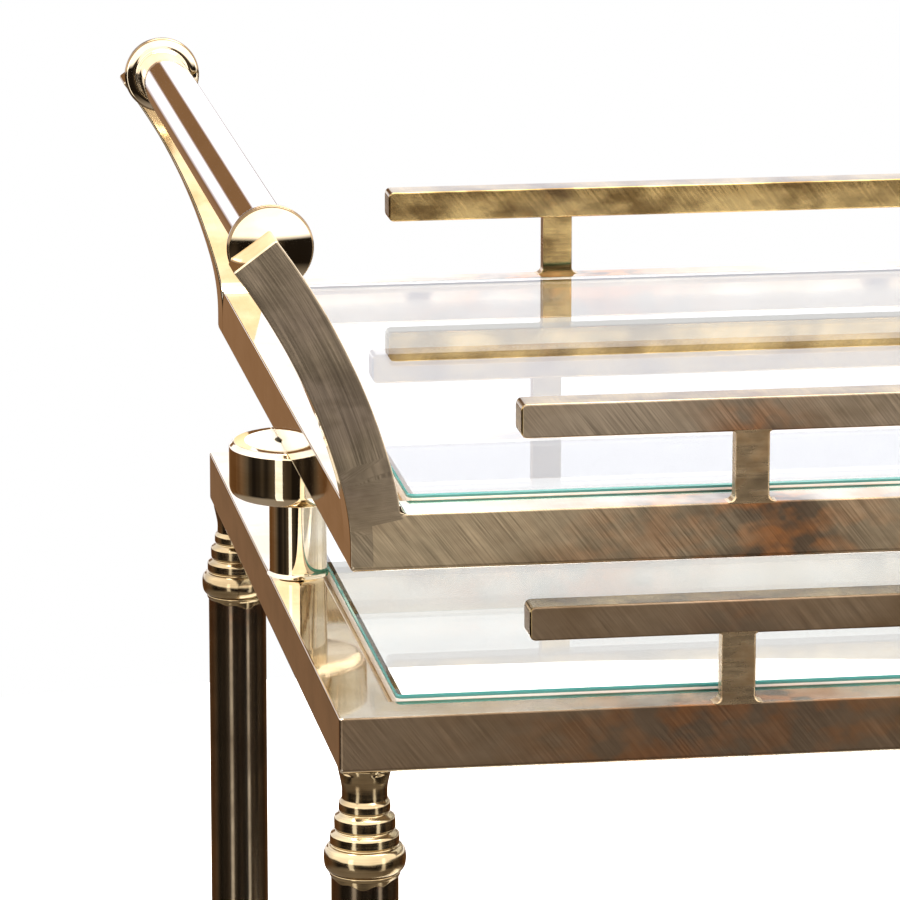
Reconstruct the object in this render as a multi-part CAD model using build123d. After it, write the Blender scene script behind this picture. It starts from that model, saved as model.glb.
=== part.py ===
from build123d import *
import math
import os

# Bar cart on swivel casters with a top tray that turns about a post at its handle end.
# Square brass tube frames hold loose glass panels, and turned ferrules join round legs to the frames.
# Millimetres, +Z up, +X away from the handle. The origin is on the floor under the middle of the
# cart's bounding box.

# ---- Overall sizes ----
TRAY_LENGTH = 790.0          # outer length of the top tray's frame
TRAY_WIDTH = 450.0           # outer width of every frame
LOWER_OVERHANG = 4.5         # the two lower frames stand this much further out at each end
TOP_HEIGHT = 730.0           # floor to the top of the top tray's frame
TRAY_GAP = 57.0              # clear height between the lower tray's frame and the top tray's frame
SHELF_HEIGHT = 145.0         # floor to the top of the bottom shelf's frame

# ---- Square tube rails ----
RAIL = 22.0
RAIL_WALL = 1.6
RAIL_EDGE = 0.8              # rounding along the rails, the gallery bars and the arms

# ---- Glass panels and the ledges under them ----
GLASS_THICKNESS = 6.0
GLASS_PROUD = 2.0            # how far the glass stands above its frame
GLASS_END_GAP = 3.0
GLASS_SIDE_GAP = 1.0
GLASS_CORNER = 3.0
GLASS_ARRIS = 0.6            # chamfer that takes the sharp edge off the glass
LEDGE_WIDTH = 6.0
LEDGE_THICKNESS = 3.0

# ---- Gallery bars and their posts ----
GALLERY_HEIGHT = 13.3
GALLERY_DEPTH = 14.0
GALLERY_CLEAR = 27.5         # frame top to the underside of the bar
GALLERY_END_ROUND = 2.5
UPPER_FRONT_GALLERY_INSET = 65.0   # frame end to bar end
UPPER_REAR_GALLERY_INSET = 76.0    # the rear bar is cut a little shorter
LOWER_GALLERY_INSET = 73.0
POST_INSET = 154.0           # frame end to the middle of the outer gallery posts
GALLERY_POST_COUNT = 3
GALLERY_POST_WIDTH = 13.3
GALLERY_POST_DEPTH = 7.0
GALLERY_POST_FLARE = 3.0

# ---- Handle: two curved arms, a tube between them and a bead ferrule at each end ----
ARM = 20.0                   # the arms are square in section
ARM_STRAIGHT = 8.0           # straight start, measured from the frame's underside
ARM_LOWER_RADIUS = 110.0     # the arm's centreline leans out in two arcs
ARM_LOWER_TURN = 15.0
ARM_UPPER_RADIUS = 255.0
ARM_UPPER_TURN = 21.6
HANDLE_BELOW_END = 6.5       # handle axis, measured back along the arm from its end
HANDLE_INSIDE = 6.0          # and across it, to the tray's side of the centreline
HANDLE_RADIUS = 11.0
HANDLE_WALL = 1.5
HANDLE_BEAD_RADIUS = 16.5
HANDLE_BEAD_LENGTH = 7.0
HANDLE_SPIGOT_LENGTH = 12.0

# ---- Swivel at the handle end ----
POST_RADIUS = 12.0
POST_WALL = 2.0
POST_INSIDE = 1.5            # post axis, measured inwards from the middle of the lower tray's end rail
PUCK_RADIUS = 28.5
PUCK_HEIGHT = 23.0
PUCK_TOP_CHAMFER = 1.6
PUCK_BOTTOM_ROUND = 4.0
PUCK_SOCKET = 9.0            # depth that the post goes up into the puck
WASHER_RADIUS = 22.0
WASHER_BORE = 9.5
WASHER_THICKNESS = 2.0
WASHER_PROUD = 0.3           # the top tray rests on the washer, just clear of the puck
BUSH_RADIUS = 9.0
PIN_RADIUS = 6.0
PIN_CLEARANCE = 0.04         # radial running clearance in the bush
COLLAR_RADIUS = 8.5
COLLAR_LENGTH = 8.0
COLLAR_GAP = 0.4             # end float between the bush and the collar
PIVOT_BLOCK_LENGTH = 40.0
SET_SCREW_RADIUS = 2.5
SET_SCREW_TURN = -75.0       # where the set screw faces, about Z from +X

# ---- Legs, ferrules and the long bolts that clamp them ----
LEG_RADIUS = 13.0
LEG_WALL = 1.5
FLARE_RADIUS = 10.4
NECK_RADIUS = 8.8
FLARE_LENGTH = 7.2
NECK_LENGTH = 12.5           # frame to the first step
STEP_RADII = (10.0, 11.8, 13.4)
STEP_LENGTHS = (5.4, 7.1, 6.0)
BEAD_RADIUS = 15.9
BEAD_LENGTH = 10.0
LIP_RADIUS = 13.9
LIP_LENGTH = 2.4
SPIGOT_LENGTH = 15.0
SPIGOT_CLEARANCE = 0.1
BOLT_RADIUS = 4.0
BOLT_CLEARANCE = 0.2
BOLT_HEAD_FLATS = 13.0
BOLT_HEAD_HEIGHT = 5.5
BOLT_ENGAGEMENT = 20.0       # thread length in the foot

# ---- Casters ----
WHEEL_RADIUS = 25.0
TYRE_WIDTH = 16.0
TYRE_DEPTH = 6.0
TREAD_CROWN = 2.5
RIM_WIDTH = 14.0
RIM_DEPTH = 4.0
WEB_THICKNESS = 5.0
HUB_RADIUS = 7.0
FORK_GAP = 20.0              # between the cheeks
HUB_SIDE_CLEARANCE = 0.3
CHEEK_THICKNESS = 2.5
CROWN_THICKNESS = 3.0
CROWN_LENGTH = 30.0
CROWN_ABOVE_WHEEL = 4.0
SWIVEL_SEAT_RADIUS = 8.0
SWIVEL_SEAT_HEIGHT = 1.0
STEM_RADIUS = 5.0
STEM_LENGTH = 30.0
STEM_CLEARANCE = 0.05
CASTER_TRAIL = 18.0
AXLE_RADIUS = 3.0
AXLE_CLEARANCE = 0.05
AXLE_HEAD_RADIUS = 4.8
AXLE_HEAD_LENGTH = 1.5
AXLE_BOSS_RADIUS = 7.5
BORE_OVERRUN = 2.0           # how far a cutting tool runs past the face it opens

# ---- Levels and lengths that follow ----
LOWER_LENGTH = TRAY_LENGTH + 2 * LOWER_OVERHANG
TOP_BASE = TOP_HEIGHT - RAIL
LOWER_HEIGHT = TOP_BASE - TRAY_GAP
LOWER_BASE = LOWER_HEIGHT - RAIL
SHELF_BASE = SHELF_HEIGHT - RAIL
FERRULE_LENGTH = NECK_LENGTH + sum(STEP_LENGTHS) + BEAD_LENGTH + LIP_LENGTH
LEG_X = LOWER_LENGTH / 2 - RAIL / 2
LEG_Y = TRAY_WIDTH / 2 - RAIL / 2
PIVOT_X = -LEG_X + POST_INSIDE
PUCK_BASE = TOP_BASE - WASHER_PROUD - PUCK_HEIGHT
CROWN_BASE = 2 * WHEEL_RADIUS + CROWN_ABOVE_WHEEL
FOOT_BASE = CROWN_BASE + CROWN_THICKNESS + SWIVEL_SEAT_HEIGHT
CORNERS = {
    "front_left": (-LEG_X, -LEG_Y),
    "front_right": (LEG_X, -LEG_Y),
    "rear_left": (-LEG_X, LEG_Y),
    "rear_right": (LEG_X, LEG_Y),
}

nodes = {}                   # node name -> list of its solids


def rod(radius, bottom, top, x=0.0, y=0.0):
    """Upright cylinder between two levels."""
    return Pos(x, y, bottom) * extrude(Circle(radius), top - bottom)


def block(low, high):
    """Box between two opposite corners."""
    size = [b - a for a, b in zip(low, high)]
    middle = [(a + b) / 2 for a, b in zip(low, high)]
    return Pos(*middle) * Box(*size)


def face_rims(solid, axis):
    """Edges round the two end faces that look along an axis."""
    ends = solid.faces().sort_by(axis)
    return ends[0].edges() + ends[-1].edges()


def trapezium(length, inset):
    """Plan of a mitred rail, drawn in from its outline by the inset."""
    return make_face(Polyline(
        (inset, inset), (length - inset, inset),
        (length - RAIL + inset, RAIL - inset), (RAIL - inset, RAIL - inset), close=True))


def mitred_rail(length):
    """Square tube along +X with mitred ends and its outer face towards -Y."""
    bar = extrude(trapezium(length, 0), RAIL)
    bar = fillet(bar.edges().filter_by(Axis.X), RAIL_EDGE)
    hollow = extrude(trapezium(length, RAIL_WALL), RAIL - 2 * RAIL_WALL)
    return bar - Pos(0, 0, RAIL_WALL) * hollow


def frame_rails(length, base):
    """The four rails of a frame, keyed by side, standing on a level."""
    half_length = length / 2
    half_width = TRAY_WIDTH / 2
    long_rail = mitred_rail(length)
    end_rail = mitred_rail(TRAY_WIDTH)
    return {
        "front": Pos(-half_length, -half_width, base) * long_rail,
        "rear": Pos(half_length, half_width, base) * Rot(0, 0, 180) * long_rail,
        "left": Pos(-half_length, half_width, base) * Rot(0, 0, -90) * end_rail,
        "right": Pos(half_length, -half_width, base) * Rot(0, 0, 90) * end_rail,
    }


def glass_panel(length, base):
    """Glass panel that lies on the ledges of a frame."""
    panel_length = length - 2 * (RAIL + GLASS_END_GAP)
    panel_width = TRAY_WIDTH - 2 * (RAIL + GLASS_SIDE_GAP)
    panel = extrude(RectangleRounded(panel_length, panel_width, GLASS_CORNER), GLASS_THICKNESS)
    panel = chamfer(face_rims(panel, Axis.Z), GLASS_ARRIS)
    return Pos(0, 0, base + RAIL + GLASS_PROUD - GLASS_THICKNESS) * panel


def glass_ledges(length, base):
    """Four flat strips brazed round the inside of a frame to carry its glass."""
    top = base + RAIL + GLASS_PROUD - GLASS_THICKNESS
    bottom = top - LEDGE_THICKNESS
    outer_x = length / 2 - RAIL
    outer_y = TRAY_WIDTH / 2 - RAIL
    inner_x = outer_x - LEDGE_WIDTH
    inner_y = outer_y - LEDGE_WIDTH
    return [
        block((-outer_x, -outer_y, bottom), (outer_x, -inner_y, top)),
        block((-outer_x, inner_y, bottom), (outer_x, outer_y, top)),
        block((-outer_x, -inner_y, bottom), (-inner_x, inner_y, top)),
        block((inner_x, -inner_y, bottom), (outer_x, inner_y, top)),
    ]


def gallery_bar(length):
    """Gallery bar along X, centred in X, with its front face on y = 0 and standing on z = 0."""
    outline = Plane.XZ * RectangleRounded(length, GALLERY_HEIGHT, GALLERY_END_ROUND)
    bar = extrude(outline, -GALLERY_DEPTH)
    bar = fillet(face_rims(bar, Axis.Y), RAIL_EDGE)
    return Pos(0, 0, GALLERY_HEIGHT / 2) * bar


def gallery_post():
    """Flat post under a gallery bar with a flared foot, front face on y = 0."""
    half = GALLERY_POST_WIDTH / 2
    flare = GALLERY_POST_FLARE
    left_foot = RadiusArc((-half - flare, 0), (-half, flare), -flare)
    right_foot = RadiusArc((half, flare), (half + flare, 0), -flare)
    sides = Polyline((-half, flare), (-half, GALLERY_CLEAR), (half, GALLERY_CLEAR), (half, flare))
    sole = Line((half + flare, 0), (-half - flare, 0))
    outline = make_face(left_foot + sides + right_foot + sole)
    return extrude(Plane.XZ * outline, -GALLERY_POST_DEPTH)


def add_galleries(tray, length, base, insets):
    """Gallery bars along the front and rear of a tray, and the posts that hold them up."""
    top = base + RAIL
    post = gallery_post()
    reach = length / 2 - POST_INSET
    spacing = 2 * reach / (GALLERY_POST_COUNT - 1)
    posts = []
    for side, turn, inset in (("front", 0, insets[0]), ("rear", 180, insets[1])):
        bar = gallery_bar(length - 2 * inset)
        side_of_tray = Rot(0, 0, turn) * Pos(0, -TRAY_WIDTH / 2, top)
        nodes[f"{tray}_{side}_gallery"] = [side_of_tray * Pos(0, 0, GALLERY_CLEAR) * bar]
        for number in range(GALLERY_POST_COUNT):
            posts.append(side_of_tray * Pos(-reach + number * spacing, 0, 0) * post)
    nodes[f"{tray}_gallery_posts"] = posts


def arm_edge(side):
    """One edge of the arm's outline in the XZ plane, as three joined curves, and its end point."""
    start = Line((side, 0), (side, ARM_STRAIGHT))
    lower = JernArc(start @ 1, (0, 1), ARM_LOWER_RADIUS + side, ARM_LOWER_TURN)
    upper = JernArc(lower @ 1, lower % 1, ARM_UPPER_RADIUS + side, ARM_UPPER_TURN)
    return start + lower + upper, upper @ 1


def arm_end():
    """End of the arm's centreline and its direction, in the XZ plane."""
    lower = JernArc((0, ARM_STRAIGHT), (0, 1), ARM_LOWER_RADIUS, ARM_LOWER_TURN)
    upper = JernArc(lower @ 1, lower % 1, ARM_UPPER_RADIUS, ARM_UPPER_TURN)
    return upper @ 1, upper % 1


def handle_arm():
    """Curved square arm brazed on top of the frame's corner, outer face on y = 0."""
    outer, outer_end = arm_edge(-ARM / 2)
    inner, inner_end = arm_edge(ARM / 2)
    outline = make_face(outer + inner + Line((-ARM / 2, 0), (ARM / 2, 0)) + Line(outer_end, inner_end))
    arm = extrude(Plane.XZ * outline, -ARM)
    arm = fillet(face_rims(arm, Axis.Y), RAIL_EDGE)
    return arm - block((-ARM, -ARM, -ARM), (2 * ARM, 2 * ARM, RAIL))


def handle_ferrule():
    """Round bead with a spigot, along +Y, its flat face on y = 0 against the arm."""
    rim = HANDLE_BEAD_LENGTH / 2
    bore = HANDLE_RADIUS - HANDLE_WALL - SPIGOT_CLEARANCE
    flat = HANDLE_BEAD_RADIUS - rim
    reach = HANDLE_BEAD_LENGTH + HANDLE_SPIGOT_LENGTH
    outline = make_face(
        Polyline((0, 0), (flat, 0))
        + ThreePointArc((flat, 0), (HANDLE_BEAD_RADIUS, rim), (flat, HANDLE_BEAD_LENGTH))
        + Polyline((flat, HANDLE_BEAD_LENGTH), (bore, HANDLE_BEAD_LENGTH), (bore, reach), (0, reach), (0, 0)))
    return revolve(outline, Axis.Y)


def ferrule(sleeve=0.0):
    """Turned ferrule hanging from z = 0: flare, neck, three steps, bead, lip and a spigot or a sleeve."""
    # The flare's curve is an arc that arrives upright at the neck.
    spread = FLARE_RADIUS - NECK_RADIUS
    flare_radius = (FLARE_LENGTH ** 2 + spread ** 2) / (2 * spread)
    flare = RadiusArc((FLARE_RADIUS, 0), (NECK_RADIUS, -FLARE_LENGTH), flare_radius)
    points = [(NECK_RADIUS, -FLARE_LENGTH), (NECK_RADIUS, -NECK_LENGTH)]
    level = -NECK_LENGTH
    for radius, length in zip(STEP_RADII, STEP_LENGTHS):
        points += [(radius, level), (radius, level - length)]
        level -= length
    bead_root = STEP_RADII[-1] + (BEAD_RADIUS - STEP_RADII[-1]) / 4
    points.append((bead_root, level))
    bead_bottom = level - BEAD_LENGTH
    bead = ThreePointArc(
        (bead_root, level), (BEAD_RADIUS, level - BEAD_LENGTH / 2), (bead_root, bead_bottom))
    lip_bottom = bead_bottom - LIP_LENGTH
    if sleeve:
        tail = [(LEG_RADIUS, lip_bottom), (LEG_RADIUS, lip_bottom - sleeve)]
    else:
        spigot = LEG_RADIUS - LEG_WALL - SPIGOT_CLEARANCE
        tail = [(spigot, lip_bottom), (spigot, lip_bottom - SPIGOT_LENGTH)]
    below = [(bead_root, bead_bottom), (LIP_RADIUS, bead_bottom), (LIP_RADIUS, lip_bottom), *tail]
    below += [(0, tail[-1][1]), (0, 0), (FLARE_RADIUS, 0)]
    outline = make_face(flare + Polyline(*points) + bead + Polyline(*below))
    return revolve(Plane.XZ * outline, Axis.Z)


def bolt_hole(bottom, top, x=0.0, y=0.0):
    """Cutting tool for the clearance hole of a leg bolt."""
    return rod(BOLT_RADIUS + BOLT_CLEARANCE, bottom, top, x, y)


def caster_fork():
    """Pressed fork with its stem, on the swivel axis, cheeks trailing towards -X."""
    half_gap = FORK_GAP / 2
    crown_top = CROWN_BASE + CROWN_THICKNESS
    shoulder = Line((-CROWN_LENGTH / 2, crown_top), (CROWN_LENGTH / 2, crown_top))
    boss = Pos(-CASTER_TRAIL, WHEEL_RADIUS) * Circle(AXLE_BOSS_RADIUS)
    cheek = extrude(Plane.XZ * make_hull(shoulder.edges() + boss.edges()), -CHEEK_THICKNESS)
    crown = block((-CROWN_LENGTH / 2, -half_gap - CHEEK_THICKNESS, CROWN_BASE),
                  (CROWN_LENGTH / 2, half_gap + CHEEK_THICKNESS, crown_top))
    fork = crown + Pos(0, half_gap, 0) * cheek + Pos(0, -half_gap - CHEEK_THICKNESS, 0) * cheek
    fork += rod(SWIVEL_SEAT_RADIUS, crown_top, FOOT_BASE)
    fork += rod(STEM_RADIUS, crown_top, FOOT_BASE + STEM_LENGTH)
    return fork - wheel_bore(FORK_GAP / 2 + 2 * CHEEK_THICKNESS)


def across_wheel(solid):
    """Turns something modelled about Z onto the axle's line, beside the swivel axis."""
    return Pos(-CASTER_TRAIL, 0, WHEEL_RADIUS) * Rot(90, 0, 0) * solid


def wheel_bore(half_length):
    """Cutting tool for the axle's hole."""
    return across_wheel(rod(AXLE_RADIUS + AXLE_CLEARANCE, -half_length, half_length))


def caster_axle():
    """Riveted axle through the fork's cheeks."""
    shank = FORK_GAP / 2 + CHEEK_THICKNESS
    axle = rod(AXLE_RADIUS, -shank, shank)
    for low, high in ((-shank - AXLE_HEAD_LENGTH, -shank), (shank, shank + AXLE_HEAD_LENGTH)):
        axle += rod(AXLE_HEAD_RADIUS, low, high)
    return across_wheel(axle)


def caster_wheel():
    """Spun wheel centre: rim, web and hub."""
    rim_outer = WHEEL_RADIUS - TYRE_DEPTH
    hub_half = FORK_GAP / 2 - HUB_SIDE_CLEARANCE
    wheel = rod(rim_outer, -RIM_WIDTH / 2, RIM_WIDTH / 2)
    wheel -= rod(rim_outer - RIM_DEPTH, WEB_THICKNESS / 2, RIM_WIDTH)
    wheel -= rod(rim_outer - RIM_DEPTH, -RIM_WIDTH, -WEB_THICKNESS / 2)
    wheel += rod(HUB_RADIUS, -hub_half, hub_half)
    return across_wheel(wheel) - wheel_bore(FORK_GAP)


def caster_tyre():
    """Rubber tyre with a crowned tread."""
    half = TYRE_WIDTH / 2
    inner = WHEEL_RADIUS - TYRE_DEPTH
    shoulder = WHEEL_RADIUS - TREAD_CROWN
    outline = make_face(
        Polyline((shoulder, half), (inner, half), (inner, -half), (shoulder, -half))
        + ThreePointArc((shoulder, -half), (WHEEL_RADIUS, 0), (shoulder, half)))
    return across_wheel(revolve(Plane.XZ * outline, Axis.Z))


# ---- Frames, glass and galleries ----
upper_rails = frame_rails(TRAY_LENGTH, TOP_BASE)
lower_rails = frame_rails(LOWER_LENGTH, LOWER_BASE)
shelf_rails = frame_rails(LOWER_LENGTH, SHELF_BASE)
for x, y in CORNERS.values():
    for side in lower_rails:
        lower_rails[side] -= bolt_hole(LOWER_BASE - RAIL_WALL, LOWER_BASE + 2 * RAIL_WALL, x, y)
        shelf_rails[side] -= bolt_hole(SHELF_BASE - RAIL_WALL, SHELF_HEIGHT + RAIL_WALL, x, y)
upper_rails["left"] -= rod(PIN_RADIUS, TOP_BASE - RAIL_WALL, TOP_BASE + 2 * RAIL_WALL, PIVOT_X)

for tray, length, base, rails in (("upper", TRAY_LENGTH, TOP_BASE, upper_rails),
                                  ("lower", LOWER_LENGTH, LOWER_BASE, lower_rails),
                                  ("shelf", LOWER_LENGTH, SHELF_BASE, shelf_rails)):
    for side, rail in rails.items():
        nodes[f"{tray}_{side}_rail"] = [rail]
    nodes[f"{tray}_glass"] = [glass_panel(length, base)]
    nodes[f"{tray}_glass_ledges"] = glass_ledges(length, base)
add_galleries("upper", TRAY_LENGTH, TOP_BASE, (UPPER_FRONT_GALLERY_INSET, UPPER_REAR_GALLERY_INSET))
add_galleries("lower", LOWER_LENGTH, LOWER_BASE, (LOWER_GALLERY_INSET, LOWER_GALLERY_INSET))

# ---- Handle ----
corner_x = -TRAY_LENGTH / 2 + ARM / 2
arm = Pos(corner_x, -TRAY_WIDTH / 2, TOP_BASE) * handle_arm()
nodes["front_handle_arm"] = [arm]
nodes["rear_handle_arm"] = [mirror(arm, Plane.XZ)]
end_point, end_direction = arm_end()
handle_x = corner_x + end_point.X - HANDLE_BELOW_END * end_direction.X + HANDLE_INSIDE * end_direction.Y
handle_z = TOP_BASE + end_point.Y - HANDLE_BELOW_END * end_direction.Y - HANDLE_INSIDE * end_direction.X
arm_inner_y = TRAY_WIDTH / 2 - ARM
bead = Pos(handle_x, -arm_inner_y, handle_z) * handle_ferrule()
nodes["handle_ferrules"] = [bead, mirror(bead, Plane.XZ)]
half_tube = arm_inner_y - HANDLE_BEAD_LENGTH
tube = extrude(Circle(HANDLE_RADIUS) - Circle(HANDLE_RADIUS - HANDLE_WALL), half_tube, both=True)
nodes["handle_bar"] = [Pos(handle_x, 0, handle_z) * Rot(90, 0, 0) * tube]

# ---- Swivel ----
puck_top = PUCK_BASE + PUCK_HEIGHT
socket_top = PUCK_BASE + PUCK_SOCKET
seat = TOP_BASE - WASHER_THICKNESS
collar_top = socket_top - COLLAR_GAP
puck = rod(PUCK_RADIUS, PUCK_BASE, puck_top, PIVOT_X)
puck = chamfer(puck.faces().sort_by(Axis.Z)[-1].edges(), PUCK_TOP_CHAMFER)
puck = fillet(puck.faces().sort_by(Axis.Z)[0].edges(), PUCK_BOTTOM_ROUND)
puck -= rod(POST_RADIUS, PUCK_BASE - BORE_OVERRUN, socket_top, PIVOT_X)
puck -= rod(BUSH_RADIUS, socket_top - BORE_OVERRUN, puck_top, PIVOT_X)
puck -= rod(WASHER_RADIUS, seat, puck_top + BORE_OVERRUN, PIVOT_X)
screw_line = Pos(PIVOT_X, 0, PUCK_BASE + PUCK_SOCKET / 2) * Rot(0, 0, SET_SCREW_TURN) * Rot(0, 90, 0)
nodes["puck_set_screw"] = [screw_line * rod(SET_SCREW_RADIUS, POST_RADIUS, PUCK_RADIUS - SET_SCREW_RADIUS)]
nodes["swivel_puck"] = [puck - screw_line * rod(SET_SCREW_RADIUS, 0, PUCK_RADIUS + SET_SCREW_RADIUS)]
nodes["swivel_post"] = [rod(POST_RADIUS, LOWER_HEIGHT, socket_top, PIVOT_X)
                        - rod(POST_RADIUS - POST_WALL, LOWER_HEIGHT, socket_top, PIVOT_X)]
nodes["pivot_bush"] = [rod(BUSH_RADIUS, socket_top, seat, PIVOT_X)
                       - rod(PIN_RADIUS + PIN_CLEARANCE, socket_top, seat, PIVOT_X)]
nodes["thrust_washer"] = [rod(WASHER_RADIUS, seat, TOP_BASE, PIVOT_X) - rod(WASHER_BORE, seat, TOP_BASE, PIVOT_X)]
block_top = TOP_HEIGHT - RAIL_WALL
block_bottom = TOP_BASE + RAIL_WALL
block_left = -TRAY_LENGTH / 2 + RAIL_WALL
block_right = -TRAY_LENGTH / 2 + RAIL - RAIL_WALL
nodes["pivot_block"] = [
    block((block_left, -PIVOT_BLOCK_LENGTH / 2, block_bottom), (block_right, PIVOT_BLOCK_LENGTH / 2, block_top))
    - rod(PIN_RADIUS, block_bottom, block_top, PIVOT_X)]
nodes["pivot_pin"] = [rod(PIN_RADIUS, collar_top - COLLAR_LENGTH, block_top, PIVOT_X)]
nodes["pivot_collar"] = [rod(COLLAR_RADIUS, collar_top - COLLAR_LENGTH, collar_top, PIVOT_X)
                         - rod(PIN_RADIUS, collar_top - COLLAR_LENGTH, collar_top, PIVOT_X)]

# ---- Legs ----
spigoted = ferrule()
top_ferrule = spigoted - bolt_hole(-FERRULE_LENGTH - 2 * SPIGOT_LENGTH, BORE_OVERRUN)
sleeved = ferrule(SHELF_BASE - FERRULE_LENGTH - FOOT_BASE)
foot_height = SHELF_BASE - FOOT_BASE
foot = sleeved - rod(BOLT_RADIUS, -BOLT_ENGAGEMENT, BORE_OVERRUN)
foot -= rod(STEM_RADIUS + STEM_CLEARANCE, -foot_height - BORE_OVERRUN, -foot_height + STEM_LENGTH + BORE_OVERRUN)
bolt_seat = LOWER_BASE + RAIL_WALL
bolt_head = extrude(RegularPolygon(BOLT_HEAD_FLATS / 2, 6, major_radius=False), BOLT_HEAD_HEIGHT)
bolt = Pos(0, 0, bolt_seat) * bolt_head + rod(BOLT_RADIUS, SHELF_BASE - BOLT_ENGAGEMENT, bolt_seat)
leg_top = LOWER_BASE - FERRULE_LENGTH
leg_bottom = SHELF_HEIGHT + FERRULE_LENGTH
leg = rod(LEG_RADIUS, leg_bottom, leg_top) - rod(LEG_RADIUS - LEG_WALL, leg_bottom, leg_top)
ends = list(CORNERS.values())
nodes["leg_top_ferrules"] = [Pos(x, y, LOWER_BASE) * top_ferrule for x, y in ends]
nodes["leg_bottom_ferrules"] = [Pos(x, y, SHELF_HEIGHT) * Rot(180, 0, 0) * top_ferrule for x, y in ends]
nodes["foot_ferrules"] = [Pos(x, y, SHELF_BASE) * foot for x, y in ends]
nodes["leg_tie_bolts"] = [Pos(x, y, 0) * bolt for x, y in ends]

# ---- One leg and one caster at each corner ----
caster_pieces = {"fork": caster_fork(), "axle": caster_axle(), "wheel": caster_wheel(), "tyre": caster_tyre()}
for corner, (x, y) in CORNERS.items():
    nodes[f"{corner}_leg"] = [Pos(x, y, 0) * leg]
    for piece, solid in caster_pieces.items():
        nodes[f"{corner}_caster_{piece}"] = [Pos(x, y, 0) * solid]

# ---- Put the origin on the floor under the middle of the whole cart, and write one file a node ----
boxes = [solid.bounding_box() for solids in nodes.values() for solid in solids]
lowest = [min(getattr(box.min, letter) for box in boxes) for letter in "XYZ"]
highest = [max(getattr(box.max, letter) for box in boxes) for letter in "XYZ"]
to_origin = Pos(-(lowest[0] + highest[0]) / 2, -(lowest[1] + highest[1]) / 2, 0)
os.makedirs("parts", exist_ok=True)
for name, solids in nodes.items():
    placed = [to_origin * solid for solid in solids]
    shape = placed[0] if len(placed) == 1 else Compound(children=placed)
    export_step(shape, f"parts/{name}.step")
print(len(nodes), "nodes, from", lowest, "to", highest)
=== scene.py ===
"""Looks of a swivel-top bar cart: satin and polished brass frames, glass trays, turned ferrules and casters.

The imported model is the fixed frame. Every piece here is worked out in metres in that frame, as whole numpy
arrays, and stands for the plain solids that it replaces. X runs along the cart away from its handle, Z is up.
"""
from __future__ import annotations

import logging
import math
from dataclasses import dataclass, field, replace
from enum import Enum
from typing import Callable, Sequence

import bmesh
import bpy
import numpy as np
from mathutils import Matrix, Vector

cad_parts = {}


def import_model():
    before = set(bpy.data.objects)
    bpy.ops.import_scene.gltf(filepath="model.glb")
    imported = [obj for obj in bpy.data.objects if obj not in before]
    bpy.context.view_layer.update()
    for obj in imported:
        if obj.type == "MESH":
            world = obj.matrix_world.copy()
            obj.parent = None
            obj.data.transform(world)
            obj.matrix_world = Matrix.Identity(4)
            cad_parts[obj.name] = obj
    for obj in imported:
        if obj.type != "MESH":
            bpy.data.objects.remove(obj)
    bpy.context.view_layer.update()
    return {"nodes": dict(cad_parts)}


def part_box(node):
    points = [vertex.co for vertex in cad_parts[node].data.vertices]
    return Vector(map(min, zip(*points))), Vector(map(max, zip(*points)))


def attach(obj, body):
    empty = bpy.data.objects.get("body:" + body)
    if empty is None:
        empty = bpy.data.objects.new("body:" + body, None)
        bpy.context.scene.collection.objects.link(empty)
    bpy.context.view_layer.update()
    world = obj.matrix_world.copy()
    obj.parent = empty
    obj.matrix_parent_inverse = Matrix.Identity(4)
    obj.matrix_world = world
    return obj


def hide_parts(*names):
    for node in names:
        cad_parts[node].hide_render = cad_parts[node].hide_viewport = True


log = logging.getLogger("bar_cart")
LatheChange = Callable[[np.ndarray, np.ndarray, np.ndarray], tuple[np.ndarray, np.ndarray]]

MM = 0.001
TRAY_SIDES = ("front", "rear", "left", "right")
CORNERS = ("front_left", "front_right", "rear_left", "rear_right")
SPECK_SIZE = 1.1 * MM
SCORCH_SIZE = (16 * MM, 16 * MM, 12 * MM)
HAZE_SIZE = 120 * MM
MOULD_CLOUD = 18 * MM
SHARP_EDGE = math.radians(38)
MERGE_DISTANCE = 1e-7
ALONG_Y = np.array(((0, 0, 1), (1, 0, 0), (0, 1, 0)), float)      # lays a turned piece's axis along Y
STANDING = np.array(((1, 0, 0), (0, 0, 1), (0, -1, 0)), float)    # stands a flat plate on its lower edge


class Face(Enum):
    """Which of a brass piece's finishes a face takes."""

    SATIN = 0
    POLISHED = 1
    END = 2


class GlassFace(Enum):
    """Which of the glass finishes a face of a panel takes."""

    CLEAR = 0
    EDGE = 1
    ARRIS = 2


class RingFace(Enum):
    """Which of a handle bead's finishes a face takes."""

    DOME = 0
    RIM = 1


class Pattern(Enum):
    """Where a material reads its place from."""

    GRAIN = "grain"
    OBJECT = "object"


# ---------------------------------------------------------------- materials


def linear(colour: str) -> tuple[float, float, float, float]:
    """Turns an sRGB hex colour into linear light.

    Args:
        colour: Six hex digits after a hash.

    Returns:
        Red, green, blue and an alpha of one.
    """
    parts = np.array([int(colour[i:i + 2], 16) for i in (1, 3, 5)]) / 255
    light = np.where(parts <= 0.04045, parts / 12.92, ((parts + 0.055) / 1.055) ** 2.4)
    return (*light.tolist(), 1.0)


def add_node(tree: bpy.types.NodeTree, kind: str, settings: dict | None = None,
             inputs: dict | None = None) -> bpy.types.Node:
    """Adds a node with its settings, its constants and its links.

    Args:
        tree: Node tree that gets the node.
        kind: Blender's name of the node type.
        settings: Attributes of the node.
        inputs: Input names or numbers, each with a constant or with the socket that feeds it.

    Returns:
        The new node.
    """
    node = tree.nodes.new(kind)
    for name, value in (settings or {}).items():
        setattr(node, name, value)
    for name, value in (inputs or {}).items():
        if isinstance(value, bpy.types.NodeSocket):
            tree.links.new(value, node.inputs[name])
        else:
            node.inputs[name].default_value = value
    return node


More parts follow.
